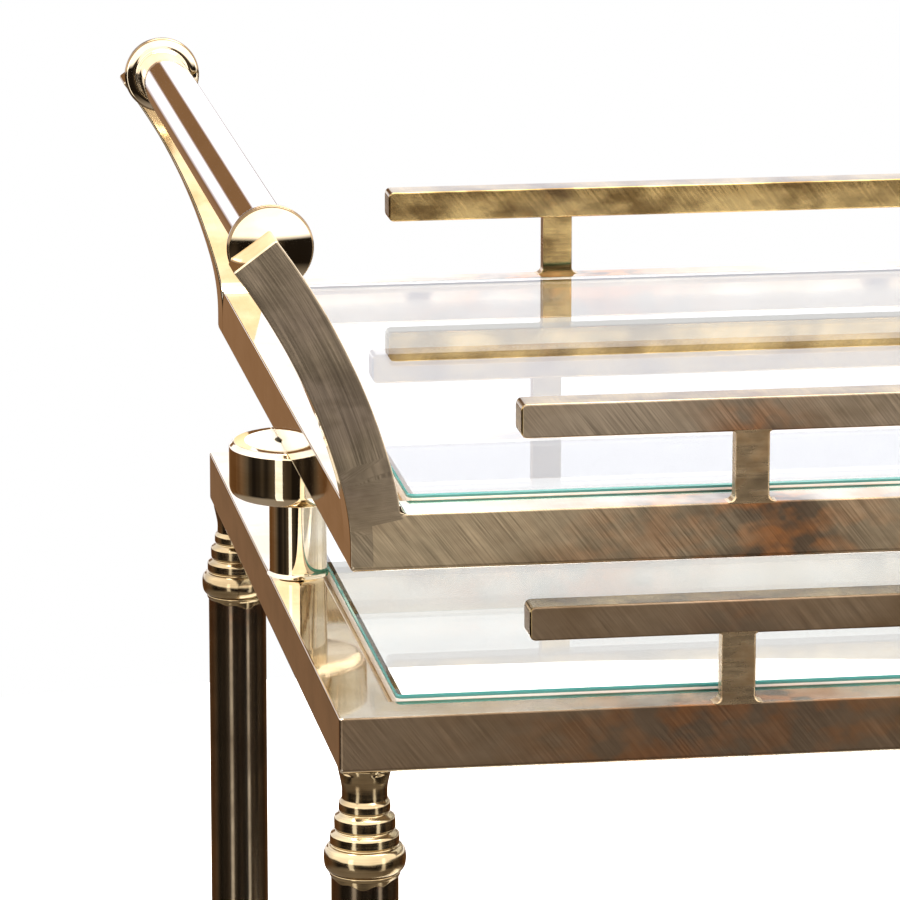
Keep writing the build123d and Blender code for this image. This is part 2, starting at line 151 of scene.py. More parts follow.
def new_material(name: str) -> tuple[bpy.types.Material, bpy.types.NodeTree]:
    """Starts an empty node material.

    Args:
        name: The finish's plain name.

    Returns:
        The material and its node tree.
    """
    material = bpy.data.materials.new(name)
    material.use_nodes = True
    material.node_tree.nodes.clear()
    return material, material.node_tree


def set_surface(tree: bpy.types.NodeTree, inputs: dict) -> None:
    """Ends a material with a Principled surface.

    Args:
        tree: The material's node tree.
        inputs: Inputs of the Principled shader.
    """
    shader = add_node(tree, "ShaderNodeBsdfPrincipled", inputs=inputs)
    add_node(tree, "ShaderNodeOutputMaterial", inputs={"Surface": shader.outputs[0]})


def noise(tree: bpy.types.NodeTree, place: bpy.types.NodeSocket, size: Sequence[float],
          detail: float = 3.0) -> bpy.types.NodeSocket:
    """Cloudy noise whose features have a real size along each axis.

    Args:
        tree: Node tree that gets the nodes.
        place: Socket with the place in metres.
        size: Feature size along the three axes, in metres.
        detail: Octaves of finer noise.

    Returns:
        The noise, from zero to one.
    """
    scaled = add_node(tree, "ShaderNodeMapping",
                      inputs={"Vector": place, "Scale": tuple(1 / s for s in size)})
    texture = add_node(tree, "ShaderNodeTexNoise",
                       inputs={"Vector": scaled.outputs[0], "Scale": 1.0, "Detail": detail})
    return texture.outputs["Fac"]


def spread(tree: bpy.types.NodeTree, value: bpy.types.NodeSocket, low: float, high: float,
           to_low: float = 0.0, to_high: float = 1.0) -> bpy.types.NodeSocket:
    """Stretches part of a value's range over another range.

    Args:
        tree: Node tree that gets the node.
        value: The value.
        low: Where the part starts.
        high: Where it ends.
        to_low: What the start becomes.
        to_high: What the end becomes.

    Returns:
        The stretched value, held at both ends.
    """
    node = add_node(tree, "ShaderNodeMapRange", inputs={
        "Value": value, "From Min": low, "From Max": high, "To Min": to_low, "To Max": to_high})
    return node.outputs[0]


def blend_colour(tree: bpy.types.NodeTree, amount: bpy.types.NodeSocket, under: object,
                 over: object) -> bpy.types.NodeSocket:
    """Lays one colour over another.

    Args:
        tree: Node tree that gets the node.
        amount: How much of the upper colour shows.
        under: Lower colour or socket.
        over: Upper colour or socket.

    Returns:
        The mixed colour.
    """
    node = add_node(tree, "ShaderNodeMix", {"data_type": "RGBA"}, {0: amount, 6: under, 7: over})
    return node.outputs[2]


@dataclass(frozen=True)
class Brass:
    """Cast and drawn brass, darkened with age and rubbed back.

    Brass reflects with its own yellow-brown colour. Abrasive cloth leaves fine parallel lines that spread
    the reflection, a buffing wheel leaves a mirror with slow waves, and a brazing flame leaves copper stains
    with grey scorched patches between them.
    """

    name: str
    metal: str
    tarnish: str
    stain: str
    roughness: float
    line_roughness: float        # how much the rubbed lines change the roughness
    line_depth: float            # metres
    line_pitch: float            # metres; coarser than a cloth's real lines, so that they show
    line_length: float
    line_shade: float
    wave_depth: float
    wave_length: float
    cloud: float = 45 * MM
    pattern: Pattern = Pattern.GRAIN
    scorch: str = "#584A3E"

    def build(self) -> bpy.types.Material:
        """Makes the material."""
        material, tree = new_material(self.name)
        place = add_node(tree, "ShaderNodeTexCoord").outputs["Object"]
        grain = place
        if self.pattern is Pattern.GRAIN:
            grain = add_node(tree, "ShaderNodeAttribute", {"attribute_name": "grain"}).outputs["Vector"]
        long, pitch = self.line_length, self.line_pitch
        lines = noise(tree, grain, (long, long, pitch), 4.0)
        strokes = noise(tree, grain, (2.2 * long, 2.2 * long, 5 * pitch), 2.0)    # broader and fainter
        clouds = noise(tree, place, (self.cloud, self.cloud, self.cloud * 0.5), 4.0)
        specks = noise(tree, place, (SPECK_SIZE,) * 3, 2.0)
        colour = blend_colour(tree, spread(tree, clouds, 0.38, 0.66), linear(self.metal),
                              linear(self.tarnish))
        braze = add_node(tree, "ShaderNodeAttribute", {"attribute_name": "braze_stain"}).outputs["Fac"]
        stained = add_node(tree, "ShaderNodeMath", {"operation": "MULTIPLY"},
                           {0: braze, 1: spread(tree, clouds, 0.3, 0.6, 0.35, 1.0)})
        patches = noise(tree, place, SCORCH_SIZE)
        burnt = blend_colour(tree, spread(tree, patches, 0.44, 0.58), linear(self.stain),
                             linear(self.scorch))
        colour = blend_colour(tree, stained.outputs[0], colour, burnt)
        shade = add_node(tree, "ShaderNodeMath", {"operation": "ADD"}, {
            0: spread(tree, lines, 0.36, 0.64, -self.line_shade, self.line_shade),
            1: spread(tree, strokes, 0.32, 0.68, 1.0 - self.line_shade, 1.0)})
        shaded = add_node(tree, "ShaderNodeVectorMath", {"operation": "SCALE"},
                          {0: colour, "Scale": shade.outputs[0]})
        rough = add_node(tree, "ShaderNodeMath", {"operation": "ADD"}, {
            0: spread(tree, lines, 0.3, 0.7, -self.line_roughness, self.line_roughness),
            1: spread(tree, clouds, 0.3, 0.7, self.roughness * 0.8, self.roughness * 1.2)})
        waves = noise(tree, place, (self.wave_length,) * 3, 1.0)
        wavy = add_node(tree, "ShaderNodeBump",
                        inputs={"Strength": 1.0, "Distance": self.wave_depth, "Height": waves})
        pitted = add_node(tree, "ShaderNodeBump", inputs={
            "Strength": 1.0, "Distance": self.line_depth * 0.4,
            "Height": spread(tree, specks, 0.62, 0.75), "Normal": wavy.outputs[0]})
        lined = add_node(tree, "ShaderNodeBump", inputs={
            "Strength": 1.0, "Distance": self.line_depth, "Height": lines, "Normal": pitted.outputs[0]})
        set_surface(tree, {"Base Color": shaded.outputs[0], "Metallic": 1.0, "Roughness": rough.outputs[0],
                           "Normal": lined.outputs[0]})
        return material


@dataclass(frozen=True)
class FloatGlass:
    """Clear float glass, or the ground edge of a panel, where the long way through shows a green tint."""

    name: str
    tint: str
    roughness: float
    transmission: float
    ior: float = 1.5

    def build(self) -> bpy.types.Material:
        """Makes the material."""
        material, tree = new_material(self.name)
        place = add_node(tree, "ShaderNodeTexCoord").outputs["Object"]
        haze = noise(tree, place, (HAZE_SIZE,) * 3, 2.0)
        rough = spread(tree, haze, 0.35, 0.7, self.roughness, self.roughness + 0.01)
        set_surface(tree, {"Base Color": linear(self.tint), "Roughness": rough,
                           "Transmission Weight": self.transmission, "IOR": self.ior})
        return material


@dataclass(frozen=True)
class PlainSolid:
    """Rubber, zinc-plated steel, bronze or nylon, with a mould's or a machine's fine texture."""

    name: str
    colour: str
    second_colour: str
    roughness: float
    metallic: float
    texture_size: float
    texture_depth: float

    def build(self) -> bpy.types.Material:
        """Makes the material."""
        material, tree = new_material(self.name)
        place = add_node(tree, "ShaderNodeTexCoord").outputs["Object"]
        fine = noise(tree, place, (self.texture_size,) * 3)
        cloud = noise(tree, place, (MOULD_CLOUD,) * 3)
        colour = blend_colour(tree, spread(tree, cloud, 0.35, 0.65), linear(self.colour),
                              linear(self.second_colour))
        bump = add_node(tree, "ShaderNodeBump",
                        inputs={"Strength": 1.0, "Distance": self.texture_depth, "Height": fine})
        rough = spread(tree, fine, 0.3, 0.7, self.roughness * 0.85, self.roughness * 1.15)
        set_surface(tree, {"Base Color": colour, "Metallic": self.metallic, "Roughness": rough,
                           "Normal": bump.outputs[0]})
        return material


SATIN_BRASS = Brass(
    name="satin_brass_rubbed", metal="#C2B092", tarnish="#7B6850", stain="#96643E", roughness=0.43,
    line_roughness=0.07, line_depth=0.020 * MM, line_pitch=0.45 * MM, line_length=28 * MM,
    line_shade=0.15, wave_depth=0.06 * MM, wave_length=40 * MM, cloud=60 * MM)
ARM_BRASS = replace(
    SATIN_BRASS, name="satin_brass_arm", metal="#A6977F", tarnish="#695843", stain="#85786A",
    scorch="#6F6457")
BAR_BRASS = replace(SATIN_BRASS, name="satin_brass_bar", metal="#AD9D88", tarnish="#73634F")
AGED_SATIN_BRASS = Brass(
    name="satin_brass_aged", metal="#948069", tarnish="#67543F", stain="#7C5030", roughness=0.40,
    line_roughness=0.05, line_depth=0.012 * MM, line_pitch=0.45 * MM, line_length=28 * MM,
    line_shade=0.09, wave_depth=0.06 * MM, wave_length=40 * MM, cloud=60 * MM)
TUBE_BRASS = Brass(
    name="drawn_brass_tube", metal="#94856F", tarnish="#675846", stain="#8A5230", roughness=0.17,
    line_roughness=0.02, line_depth=0.002 * MM, line_pitch=0.9 * MM, line_length=90 * MM, line_shade=0.03,
    wave_depth=0.02 * MM, wave_length=35 * MM)
POLISHED_BRASS = Brass(
    name="polished_brass_buffed", metal="#E8DCC8", tarnish="#D8C6A6", stain="#B9783E", roughness=0.045,
    line_roughness=0.012, line_depth=0.0012 * MM, line_pitch=0.6 * MM, line_length=25 * MM,
    line_shade=0.02, wave_depth=0.02 * MM, wave_length=18 * MM, cloud=30 * MM)
ARM_POLISH = replace(POLISHED_BRASS, name="polished_brass_arm", stain="#D3C09C", scorch="#BBA67F")
RING_BRASS = replace(
    POLISHED_BRASS, name="polished_brass_ring", metal="#A18B6D", tarnish="#6E5A42", roughness=0.08)
GREY_POLISH = replace(POLISHED_BRASS, name="polished_brass_greyed", metal="#958A82", tarnish="#6E6660")
HANDLE_BRASS = Brass(
    name="polished_brass_handled", metal="#E6DAD2", tarnish="#D9CBC0", stain="#B9783E", roughness=0.05,
    line_roughness=0.01, line_depth=0.0008 * MM, line_pitch=0.6 * MM, line_length=40 * MM,
    line_shade=0.01, wave_depth=0.012 * MM, wave_length=40 * MM, cloud=60 * MM)
OLD_GOLD_BRASS = Brass(
    name="polished_brass_tarnished", metal="#AE9666", tarnish="#6B5636", stain="#7A4626", roughness=0.13,
    line_roughness=0.05, line_depth=0.003 * MM, line_pitch=0.9 * MM, line_length=18 * MM, line_shade=0.10,
    wave_depth=0.05 * MM, wave_length=12 * MM, cloud=22 * MM)
CAST_BRASS = Brass(
    name="cast_brass_turned", metal="#C2B08D", tarnish="#8A7454", stain="#B9783E", roughness=0.15,
    line_roughness=0.04, line_depth=0.006 * MM, line_pitch=0.5 * MM, line_length=30 * MM, line_shade=0.06,
    wave_depth=0.10 * MM, wave_length=4.5 * MM)
POST_BRASS = Brass(
    name="filed_brass_strip", metal="#D6BD98", tarnish="#AB8E6A", stain="#6A5140", roughness=0.28,
    line_roughness=0.02, line_depth=0.001 * MM, line_pitch=0.9 * MM, line_length=20 * MM, line_shade=0.03,
    wave_depth=0.20 * MM, wave_length=8 * MM, cloud=12 * MM)
LEDGE_BRASS = Brass(
    name="brass_strip", metal="#CDBB9A", tarnish="#A58B63", stain="#8A5230", roughness=0.14,
    line_roughness=0.03, line_depth=0.004 * MM, line_pitch=0.6 * MM, line_length=40 * MM, line_shade=0.04,
    wave_depth=0.03 * MM, wave_length=20 * MM, pattern=Pattern.OBJECT)
CLEAR_GLASS = FloatGlass(name="clear_float_glass", tint="#FDFFFE", roughness=0.0, transmission=1.0)
EDGE_GLASS = FloatGlass(name="ground_glass_edge", tint="#ECE7E4", roughness=0.2, transmission=0.2)
ARRIS_GLASS = FloatGlass(name="seamed_glass_arris", tint="#3F8682", roughness=0.15, transmission=0.25)
TYRE_RUBBER = PlainSolid(
    name="moulded_tyre_rubber", colour="#232120", second_colour="#2E2C2A", roughness=0.62, metallic=0.0,
    texture_size=0.7 * MM, texture_depth=0.03 * MM)
ZINC_STEEL = PlainSolid(
    name="zinc_plated_steel", colour="#B9BBBF", second_colour="#A3A19C", roughness=0.28, metallic=1.0,
    texture_size=0.6 * MM, texture_depth=0.006 * MM)
BEARING_BRONZE = PlainSolid(
    name="bearing_bronze", colour="#B08A5A", second_colour="#93704A", roughness=0.35, metallic=1.0,
    texture_size=0.8 * MM, texture_depth=0.008 * MM)
NYLON = PlainSolid(
    name="moulded_nylon", colour="#E6E1D4", second_colour="#D8D2C2", roughness=0.45, metallic=0.0,
    texture_size=0.8 * MM, texture_depth=0.01 * MM)


# ---------------------------------------------------------------- surfaces


@dataclass
class Surface:
    """Part of a piece: its points, its faces and what the materials read from it."""

    points: np.ndarray
    quads: np.ndarray
    caps: list[list[int]] = field(default_factory=list)
    finish: np.ndarray | None = None
    cap_finish: int = 0
    grain: np.ndarray | None = None
    braze: np.ndarray | None = None


def grid_quads(rows: int, columns: int, wrap_rows: bool, wrap_columns: bool) -> np.ndarray:
    """Faces of a grid of points, numbered row by row.

    Args:
        rows: Number of rows.
        columns: Number of points in a row.
        wrap_rows: Whether the last row joins the first.
        wrap_columns: Whether each row closes on itself.

    Returns:
        An array of four point numbers for each face.
    """
    row = np.arange(rows if wrap_rows else rows - 1)[:, None]
    column = np.arange(columns if wrap_columns else columns - 1)[None, :]
    next_row = (row + 1) % rows
    next_column = (column + 1) % columns
    corners = (row * columns + column, row * columns + next_column,
               next_row * columns + next_column, next_row * columns + column)
    return np.stack(np.broadcast_arrays(*corners), axis=-1).reshape(-1, 4)


def end_caps(rows: int, columns: int) -> list[list[int]]:
    """Faces that close the first and the last row of a grid of points.

    Args:
        rows: Number of rows.
        columns: Number of points in a row.

    Returns:
        Two faces, each a list of point numbers.
    """
    last = (rows - 1) * columns
    return [list(range(columns)), list(range(last, last + columns))]


def rounded_profile(corners: Sequence[tuple[float, float, float]], steps: int = 5,
                    closed: bool = False) -> np.ndarray:
    """An outline of straight runs whose corners are rounded.

    Each corner becomes a curve that leaves one run and meets the next at the same distance from the corner:
    a quadratic curve with the corner as its control point.

    Args:
        corners: Two coordinates and a rounding length for each corner.
        steps: Points on each rounding.
        closed: Whether the outline joins up.

    Returns:
        The outline's points, one row each.
    """
    place = np.array([corner[:2] for corner in corners])
    parts = []
    for number, (x, y, radius) in enumerate(corners):
        here = np.array((x, y))
        inside = closed or 0 < number < len(corners) - 1
        if not inside or radius <= 0:
            parts.append(here[None, :])
            continue
        before = place[number - 1] - here
        after = place[(number + 1) % len(corners)] - here
        reach = min(radius, 0.49 * np.linalg.norm(before), 0.49 * np.linalg.norm(after))
        start = here + before / np.linalg.norm(before) * reach
        end = here + after / np.linalg.norm(after) * reach
        t = np.linspace(0, 1, steps)[:, None]
        parts.append((1 - t) ** 2 * start + 2 * t * (1 - t) * here + t ** 2 * end)
    return np.vstack(parts)


def bar_section(half_width: float, half_height: float, edge: float, steps: int = 5) -> np.ndarray:
    """Section of a flat bar whose four edges are rounded.

    Args:
        half_width: Half its width.
        half_height: Half its height.
        edge: Rounding length of an edge.
        steps: Points on each rounding.

    Returns:
        The section's points, one row each, anticlockwise from the lower right.
    """
    corners = ((half_width, -half_height, edge), (half_width, half_height, edge),
               (-half_width, half_height, edge), (-half_width, -half_height, edge))
    return rounded_profile(corners, steps, True)


def rod_profile(radius: float, low: float, high: float, rows: int = 60) -> np.ndarray:
    """Profile of a plain round rod for lathe(), with rows close enough for its stains.

    Args:
        radius: The rod's radius.
        low: Height of its lower end.
        high: Height of its upper end.
        rows: Number of rows on its side.

    Returns:
        Radius and height, one row each, from the axis round to the axis.
    """
    level = np.linspace(low, high, rows)
    side = np.stack((np.full(rows, radius), level), axis=1)
    return np.vstack(((0, low), side, (0, high)))


def rounded_rectangle(half_x: np.ndarray, half_y: np.ndarray, radius: np.ndarray, arc_steps: int,
                      side_steps: int) -> np.ndarray:
    """Rounded rectangles, one for each size given, with matching points.

    Each corner is a quarter circle, and each side is cut into equal lengths. The first side runs along the
    front from left to right, and the rest follow anticlockwise as seen from above.

    Args:
        half_x: Half lengths.
        half_y: Half widths.
        radius: Corner radii.
        arc_steps: Points on a corner.
        side_steps: Points strictly inside a side.

    Returns:
        Points as an array of sizes by points by two.
    """
    turn = np.linspace(0, math.pi / 2, arc_steps)
    signs = ((1, -1), (1, 1), (-1, 1), (-1, -1))
    arcs = []
    for number, (sign_x, sign_y) in enumerate(signs):
        angle = turn + (number - 1) * math.pi / 2
        x = sign_x * (half_x - radius)[:, None] + radius[:, None] * np.cos(angle)
        y = sign_y * (half_y - radius)[:, None] + radius[:, None] * np.sin(angle)
        arcs.append(np.stack((x, y), axis=-1))
    parts = []
    share = (np.arange(side_steps) + 1) / (side_steps + 1)
    for number, arc in enumerate(arcs):
        start = arcs[number - 1][:, -1:]
        parts.append(start + (arc[:, :1] - start) * share[None, :, None])
        parts.append(arc)
    return np.concatenate(parts, axis=1)


def lathe(profile: np.ndarray, steps: int = 64, change: LatheChange | None = None) -> Surface:
    """Turns a profile round the Z axis.

    A point is radius times cosine and sine of the angle, at the profile's height.

    Args:
        profile: Radius and height, one row each; it starts and ends on the axis or closes on itself.
        steps: Points round the axis.
        change: Takes radius, height and angle grids and gives the radius and height that the hand left.

    Returns:
        The turned surface.
    """
    angle = np.linspace(0, 2 * math.pi, steps, endpoint=False)[None, :]
    radius = np.repeat(profile[:, :1], steps, axis=1)
    height = np.repeat(profile[:, 1:], steps, axis=1)
    angle = np.repeat(angle, len(profile), axis=0)
    if change:
        radius, height = change(radius, height, angle)
    points = np.stack((radius * np.cos(angle), radius * np.sin(angle), height), axis=-1).reshape(-1, 3)
    closed = bool(np.allclose(profile[0], profile[-1]))
    rows = len(profile) - 1 if closed else len(profile)
    return Surface(points[:rows * steps], grid_quads(rows, steps, closed, True), grain=points[:rows * steps])


def swept(section: np.ndarray, origins: np.ndarray, side: np.ndarray, up: np.ndarray,
          end_bevel: float = 0.0) -> Surface:
    """Carries a closed section along a path and closes both ends.

    A point is the path's point plus the section's two coordinates along the side and up directions. A
    bevelled end repeats the last section one bevel before it and draws the last one in by the bevel.

    Args:
        section: Closed section, one row for each point.
        origins: Path points.
        side: Direction of the section's first coordinate at each path point.
        up: Direction of its second coordinate.
        end_bevel: Size of the bevel at the far end.

    Returns:
        The swept surface, with the distance along the path as its grain.
    """
    scale = np.ones((len(origins), 1, 2))
    if end_bevel:
        behind = (origins[-2] - origins[-1]) / np.linalg.norm(origins[-2] - origins[-1])
        origins = np.vstack((origins[:-1], origins[-1:] + behind * end_bevel, origins[-1:]))
        side = np.vstack((side, side[-1:]))
        up = np.vstack((up, up[-1:]))
        scale = np.ones((len(origins), 1, 2))
        scale[-1, 0] = 1 - end_bevel / np.abs(section).max(axis=0)
    flat = section[None] * scale
    points = (origins[:, None] + flat[..., :1] * side[:, None] + flat[..., 1:] * up[:, None])
    steps = np.linalg.norm(np.diff(origins, axis=0), axis=1)
    along = np.concatenate(((0.0,), np.cumsum(steps)))
    across = flat[..., 0] + 0.6 * flat[..., 1]
    grain = np.stack(np.broadcast_arrays(along[:, None], flat[..., 1], across), axis=-1)
    rows, columns = len(origins), len(section)
    return Surface(points.reshape(-1, 3), grid_quads(rows, columns, False, True), end_caps(rows, columns),
                   grain=grain.reshape(-1, 3))


def placed(surface: Surface, offset: Sequence[float], axes: np.ndarray | None = None) -> Surface:
    """Turns and moves a surface.

    Args:
        surface: The surface.
        offset: Where its origin goes.
        axes: Three rows, the directions that its X, Y and Z take.

    Returns:
        The moved surface, with its grain as it was.
    """
    points = surface.points if axes is None else surface.points @ axes
    return Surface(points + np.array(offset), surface.quads, surface.caps, surface.finish,
                   surface.cap_finish, surface.grain, surface.braze)


def diagonal_grain(points: np.ndarray, lean: float = 52.0) -> np.ndarray:
    """Places for rubbing lines that lean down to the right on upright faces that run along the cart.

    The along coordinate is x times the cosine of the lean minus z times its sine, and the across coordinate
    is x times the sine plus z times the cosine.

    Args:
        points: The points.
        lean: Lean from level, in degrees.

    Returns:
        Along, depth and across coordinates.
    """
    cosine, sine = math.cos(math.radians(lean)), math.sin(math.radians(lean))
    x, y, z = points.T
    return np.stack((x * cosine - z * sine, y, x * sine + z * cosine), axis=1)


def braze_stain(points: np.ndarray, joints: Sequence[Sequence[float]], reach: float) -> np.ndarray:
    """How strongly brazing stained each point: a bell curve of the distance to each joint, added up.

    Args:
        points: The points.
        joints: Places of the brazed joints.
        reach: Distance at which the stain has faded to six tenths.

    Returns:
        Stain from zero to one.
    """
    away = points[:, None] - np.array(joints)[None]
    return np.minimum(np.exp(-(away ** 2).sum(axis=2) / (2 * reach ** 2)).sum(axis=1), 1.0)


def node_box(name: str) -> tuple[np.ndarray, np.ndarray]:
    """Measures a node's box.

    Args:
        name: The node's name.

    Returns:
        The low and the high corner, in metres.
    """
    low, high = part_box(name)
    return np.array(low), np.array(high)


@dataclass
class Workshop:
    """Turns surfaces into finished pieces that ride on the frame's bodies."""

    materials: dict[str, bpy.types.Material] = field(default_factory=dict)

    def material(self, finish: Brass | FloatGlass | PlainSolid) -> bpy.types.Material:
        """Gives a finish's material, made once.

        Args:
            finish: The finish.

        Returns:
            Its material.
        """
        if finish.name not in self.materials:
            self.materials[finish.name] = finish.build()
        return self.materials[finish.name]

    def piece(self, name: str, surfaces: Sequence[Surface],
              finishes: Sequence[Brass | FloatGlass | PlainSolid], body: str,
              replaces: Sequence[str] = ()) -> bpy.types.Object:
        """Joins surfaces into one piece with smooth shading, outward faces and its materials.

        Args:
            name: The piece's name.
            surfaces: Its closed surfaces.
            finishes: Finish for each finish number on the faces.
            body: Body that it rides on.
            replaces: Nodes that it stands for.

        Returns:
            The finished object.
        """
        starts = np.concatenate(((0,), np.cumsum([len(s.points) for s in surfaces])))
        faces: list[list[int]] = []
        numbers: list[int] = []
        for surface, start in zip(surfaces, starts):
            faces += (surface.quads + start).tolist()
            faces += [[index + int(start) for index in cap] for cap in surface.caps]
            own = surface.finish if surface.finish is not None else np.zeros(len(surface.quads), int)
            numbers += own.tolist() + [surface.cap_finish] * len(surface.caps)
        mesh = bpy.data.meshes.new(name)
        mesh.from_pydata(np.vstack([s.points for s in surfaces]), [], faces)
        mesh.polygons.foreach_set("material_index", numbers)
        grain = np.vstack([s.grain if s.grain is not None else s.points for s in surfaces])
        braze = np.concatenate([s.braze if s.braze is not None else np.zeros(len(s.points))
                                for s in surfaces])
        mesh.attributes.new("grain", "FLOAT_VECTOR", "POINT").data.foreach_set("vector", grain.ravel())
        mesh.attributes.new("braze_stain", "FLOAT", "POINT").data.foreach_set("value", braze)
        shape = bmesh.new()
        shape.from_mesh(mesh)
        bmesh.ops.remove_doubles(shape, verts=shape.verts, dist=MERGE_DISTANCE)
        bmesh.ops.recalc_face_normals(shape, faces=shape.faces)
        shape.to_mesh(mesh)
        shape.free()
        mesh.polygons.foreach_set("use_smooth", [True] * len(mesh.polygons))
        mesh.set_sharp_from_angle(angle=SHARP_EDGE)
        thing = bpy.data.objects.new(name, mesh)
        bpy.context.scene.collection.objects.link(thing)
        for finish in finishes:
            mesh.materials.append(self.material(finish))
        flats = thing.modifiers.new("flat_faces_stay_flat", "WEIGHTED_NORMAL")
        flats.keep_sharp = True
        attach(thing, body)
        if replaces:
            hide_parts(*replaces)
        log.info("%s: %d faces on %s", name, len(mesh.polygons), body)
        return thing

    def dress(self, node: bpy.types.Object, finish: Brass | FloatGlass | PlainSolid) -> None:
        """Gives a node that keeps its own shape a finish.

        Args:
            node: The node.
            finish: The finish.
        """
        for material_slot in node.material_slots:
            material_slot.material = self.material(finish)
        log.info("%s: dressed as %s", node.name, finish.name)


# ---------------------------------------------------------------- trays


@dataclass
class TrayFrame:
    """A mitred and brazed frame of square tube.

    Its outer long faces and its underside are rubbed satin, its two outer ends have a finish of their own,
    and the rest is buffed.
    """

    name: str
    body: str
    satin: Brass
    end: Brass
    rail: float = 22 * MM
    top_edge: float = 0.7 * MM
    bottom_edge: float = 2.0 * MM     # filing rounds the lower edges more
    corner: float = 1.6 * MM
    least_corner: float = 0.05 * MM
    joint_reach: float = 45 * MM
    step: float = 9 * MM
    face_band: float = 0.3 * MM       # a face this near an outer side counts as on it

    def build(self, shop: Workshop, joints: Sequence[Sequence[float]]) -> None:
        """Sweeps the tube's section round a rounded rectangle.

        For each point of the section, its outward distance grows the rectangle and its height lifts it, so
        the corners are true mitres.

        Args:
            shop: The workshop.
            joints: Places where something is brazed to the frame.
        """
        nodes = [f"{self.name}_{side}_rail" for side in TRAY_SIDES]
        low = np.min([node_box(node)[0] for node in nodes], axis=0)
        high = np.max([node_box(node)[1] for node in nodes], axis=0)
        half = self.rail / 2
        section = rounded_profile(((half, -half, self.bottom_edge), (half, half, self.top_edge),
                                   (-half, half, self.top_edge), (-half, -half, self.top_edge)), 5, True)
        half_x, half_y = (high[:2] - low[:2]) / 2
        radius = np.maximum(self.corner - (half - section[:, 0]), self.least_corner)
        side_steps = int(2 * half_x / self.step)
        loops = rounded_rectangle(half_x - half + section[:, 0], half_y - half + section[:, 0], radius, 5,
                                  side_steps)
        middle = (low[:2] + high[:2]) / 2
        height = np.repeat((low[2] + half + section[:, 1])[:, None], loops.shape[1], axis=1)
        points = np.dstack((loops + middle, height)).reshape(-1, 3)
        quads = grid_quads(len(section), loops.shape[1], True, True)
        centre = points[quads].mean(axis=1)
        outer_long = np.abs(centre[:, 1] - middle[1]) > half_y - self.face_band
        underside = centre[:, 2] < low[2] + self.face_band
        outer_end = np.abs(centre[:, 0] - middle[0]) > half_x - self.face_band
        topside = centre[:, 2] >= high[2] - self.face_band
        finish = np.where(outer_end & ~topside, Face.END.value, Face.POLISHED.value)
        finish = np.where(outer_long | underside, Face.SATIN.value, finish)
        surface = Surface(points, quads, finish=finish, grain=diagonal_grain(points),
                          braze=braze_stain(points, joints, self.joint_reach))
        shop.piece(f"{self.name}_frame", [surface], (self.satin, POLISHED_BRASS, self.end), self.body,
                   nodes)


@dataclass
class GlassPanel:
    """A loose glass panel with rounded corners, its edge seamed all round and green in its upper part."""

    name: str
    body: str
    corner: float = 3 * MM
    arris: float = 0.6 * MM
    green: float = 1.5 * MM           # how deep the green shows from the top

    def build(self, shop: Workshop) -> None:
        """Stacks five rounded rectangles: the two faces drawn in by the arris, and the edge between them.

        Args:
            shop: The workshop.
        """
        node = f"{self.name}_glass"
        low, high = node_box(node)
        half = (high - low) / 2
        inset = np.array((self.arris, 0.0, 0.0, 0.0, self.arris))
        level = np.array((low[2], low[2] + self.arris, high[2] - self.green, high[2] - self.arris, high[2]))
        loops = rounded_rectangle(half[0] - inset, half[1] - inset, self.corner - inset, 7, 0)
        count = loops.shape[1]
        middle = (low[:2] + high[:2]) / 2
        points = np.dstack((loops + middle, np.repeat(level[:, None], count, axis=1))).reshape(-1, 3)
        edge, arris = GlassFace.EDGE.value, GlassFace.ARRIS.value
        finish = np.repeat((edge, edge, arris, arris), count)
        edges = Surface(points, grid_quads(len(level), count, False, True), end_caps(len(level), count),
                        finish, GlassFace.CLEAR.value)
        panel = shop.piece(f"{self.name}_glass_panel", [edges], (CLEAR_GLASS, EDGE_GLASS, ARRIS_GLASS),
                           self.body, [node])
        panel.visible_shadow = False


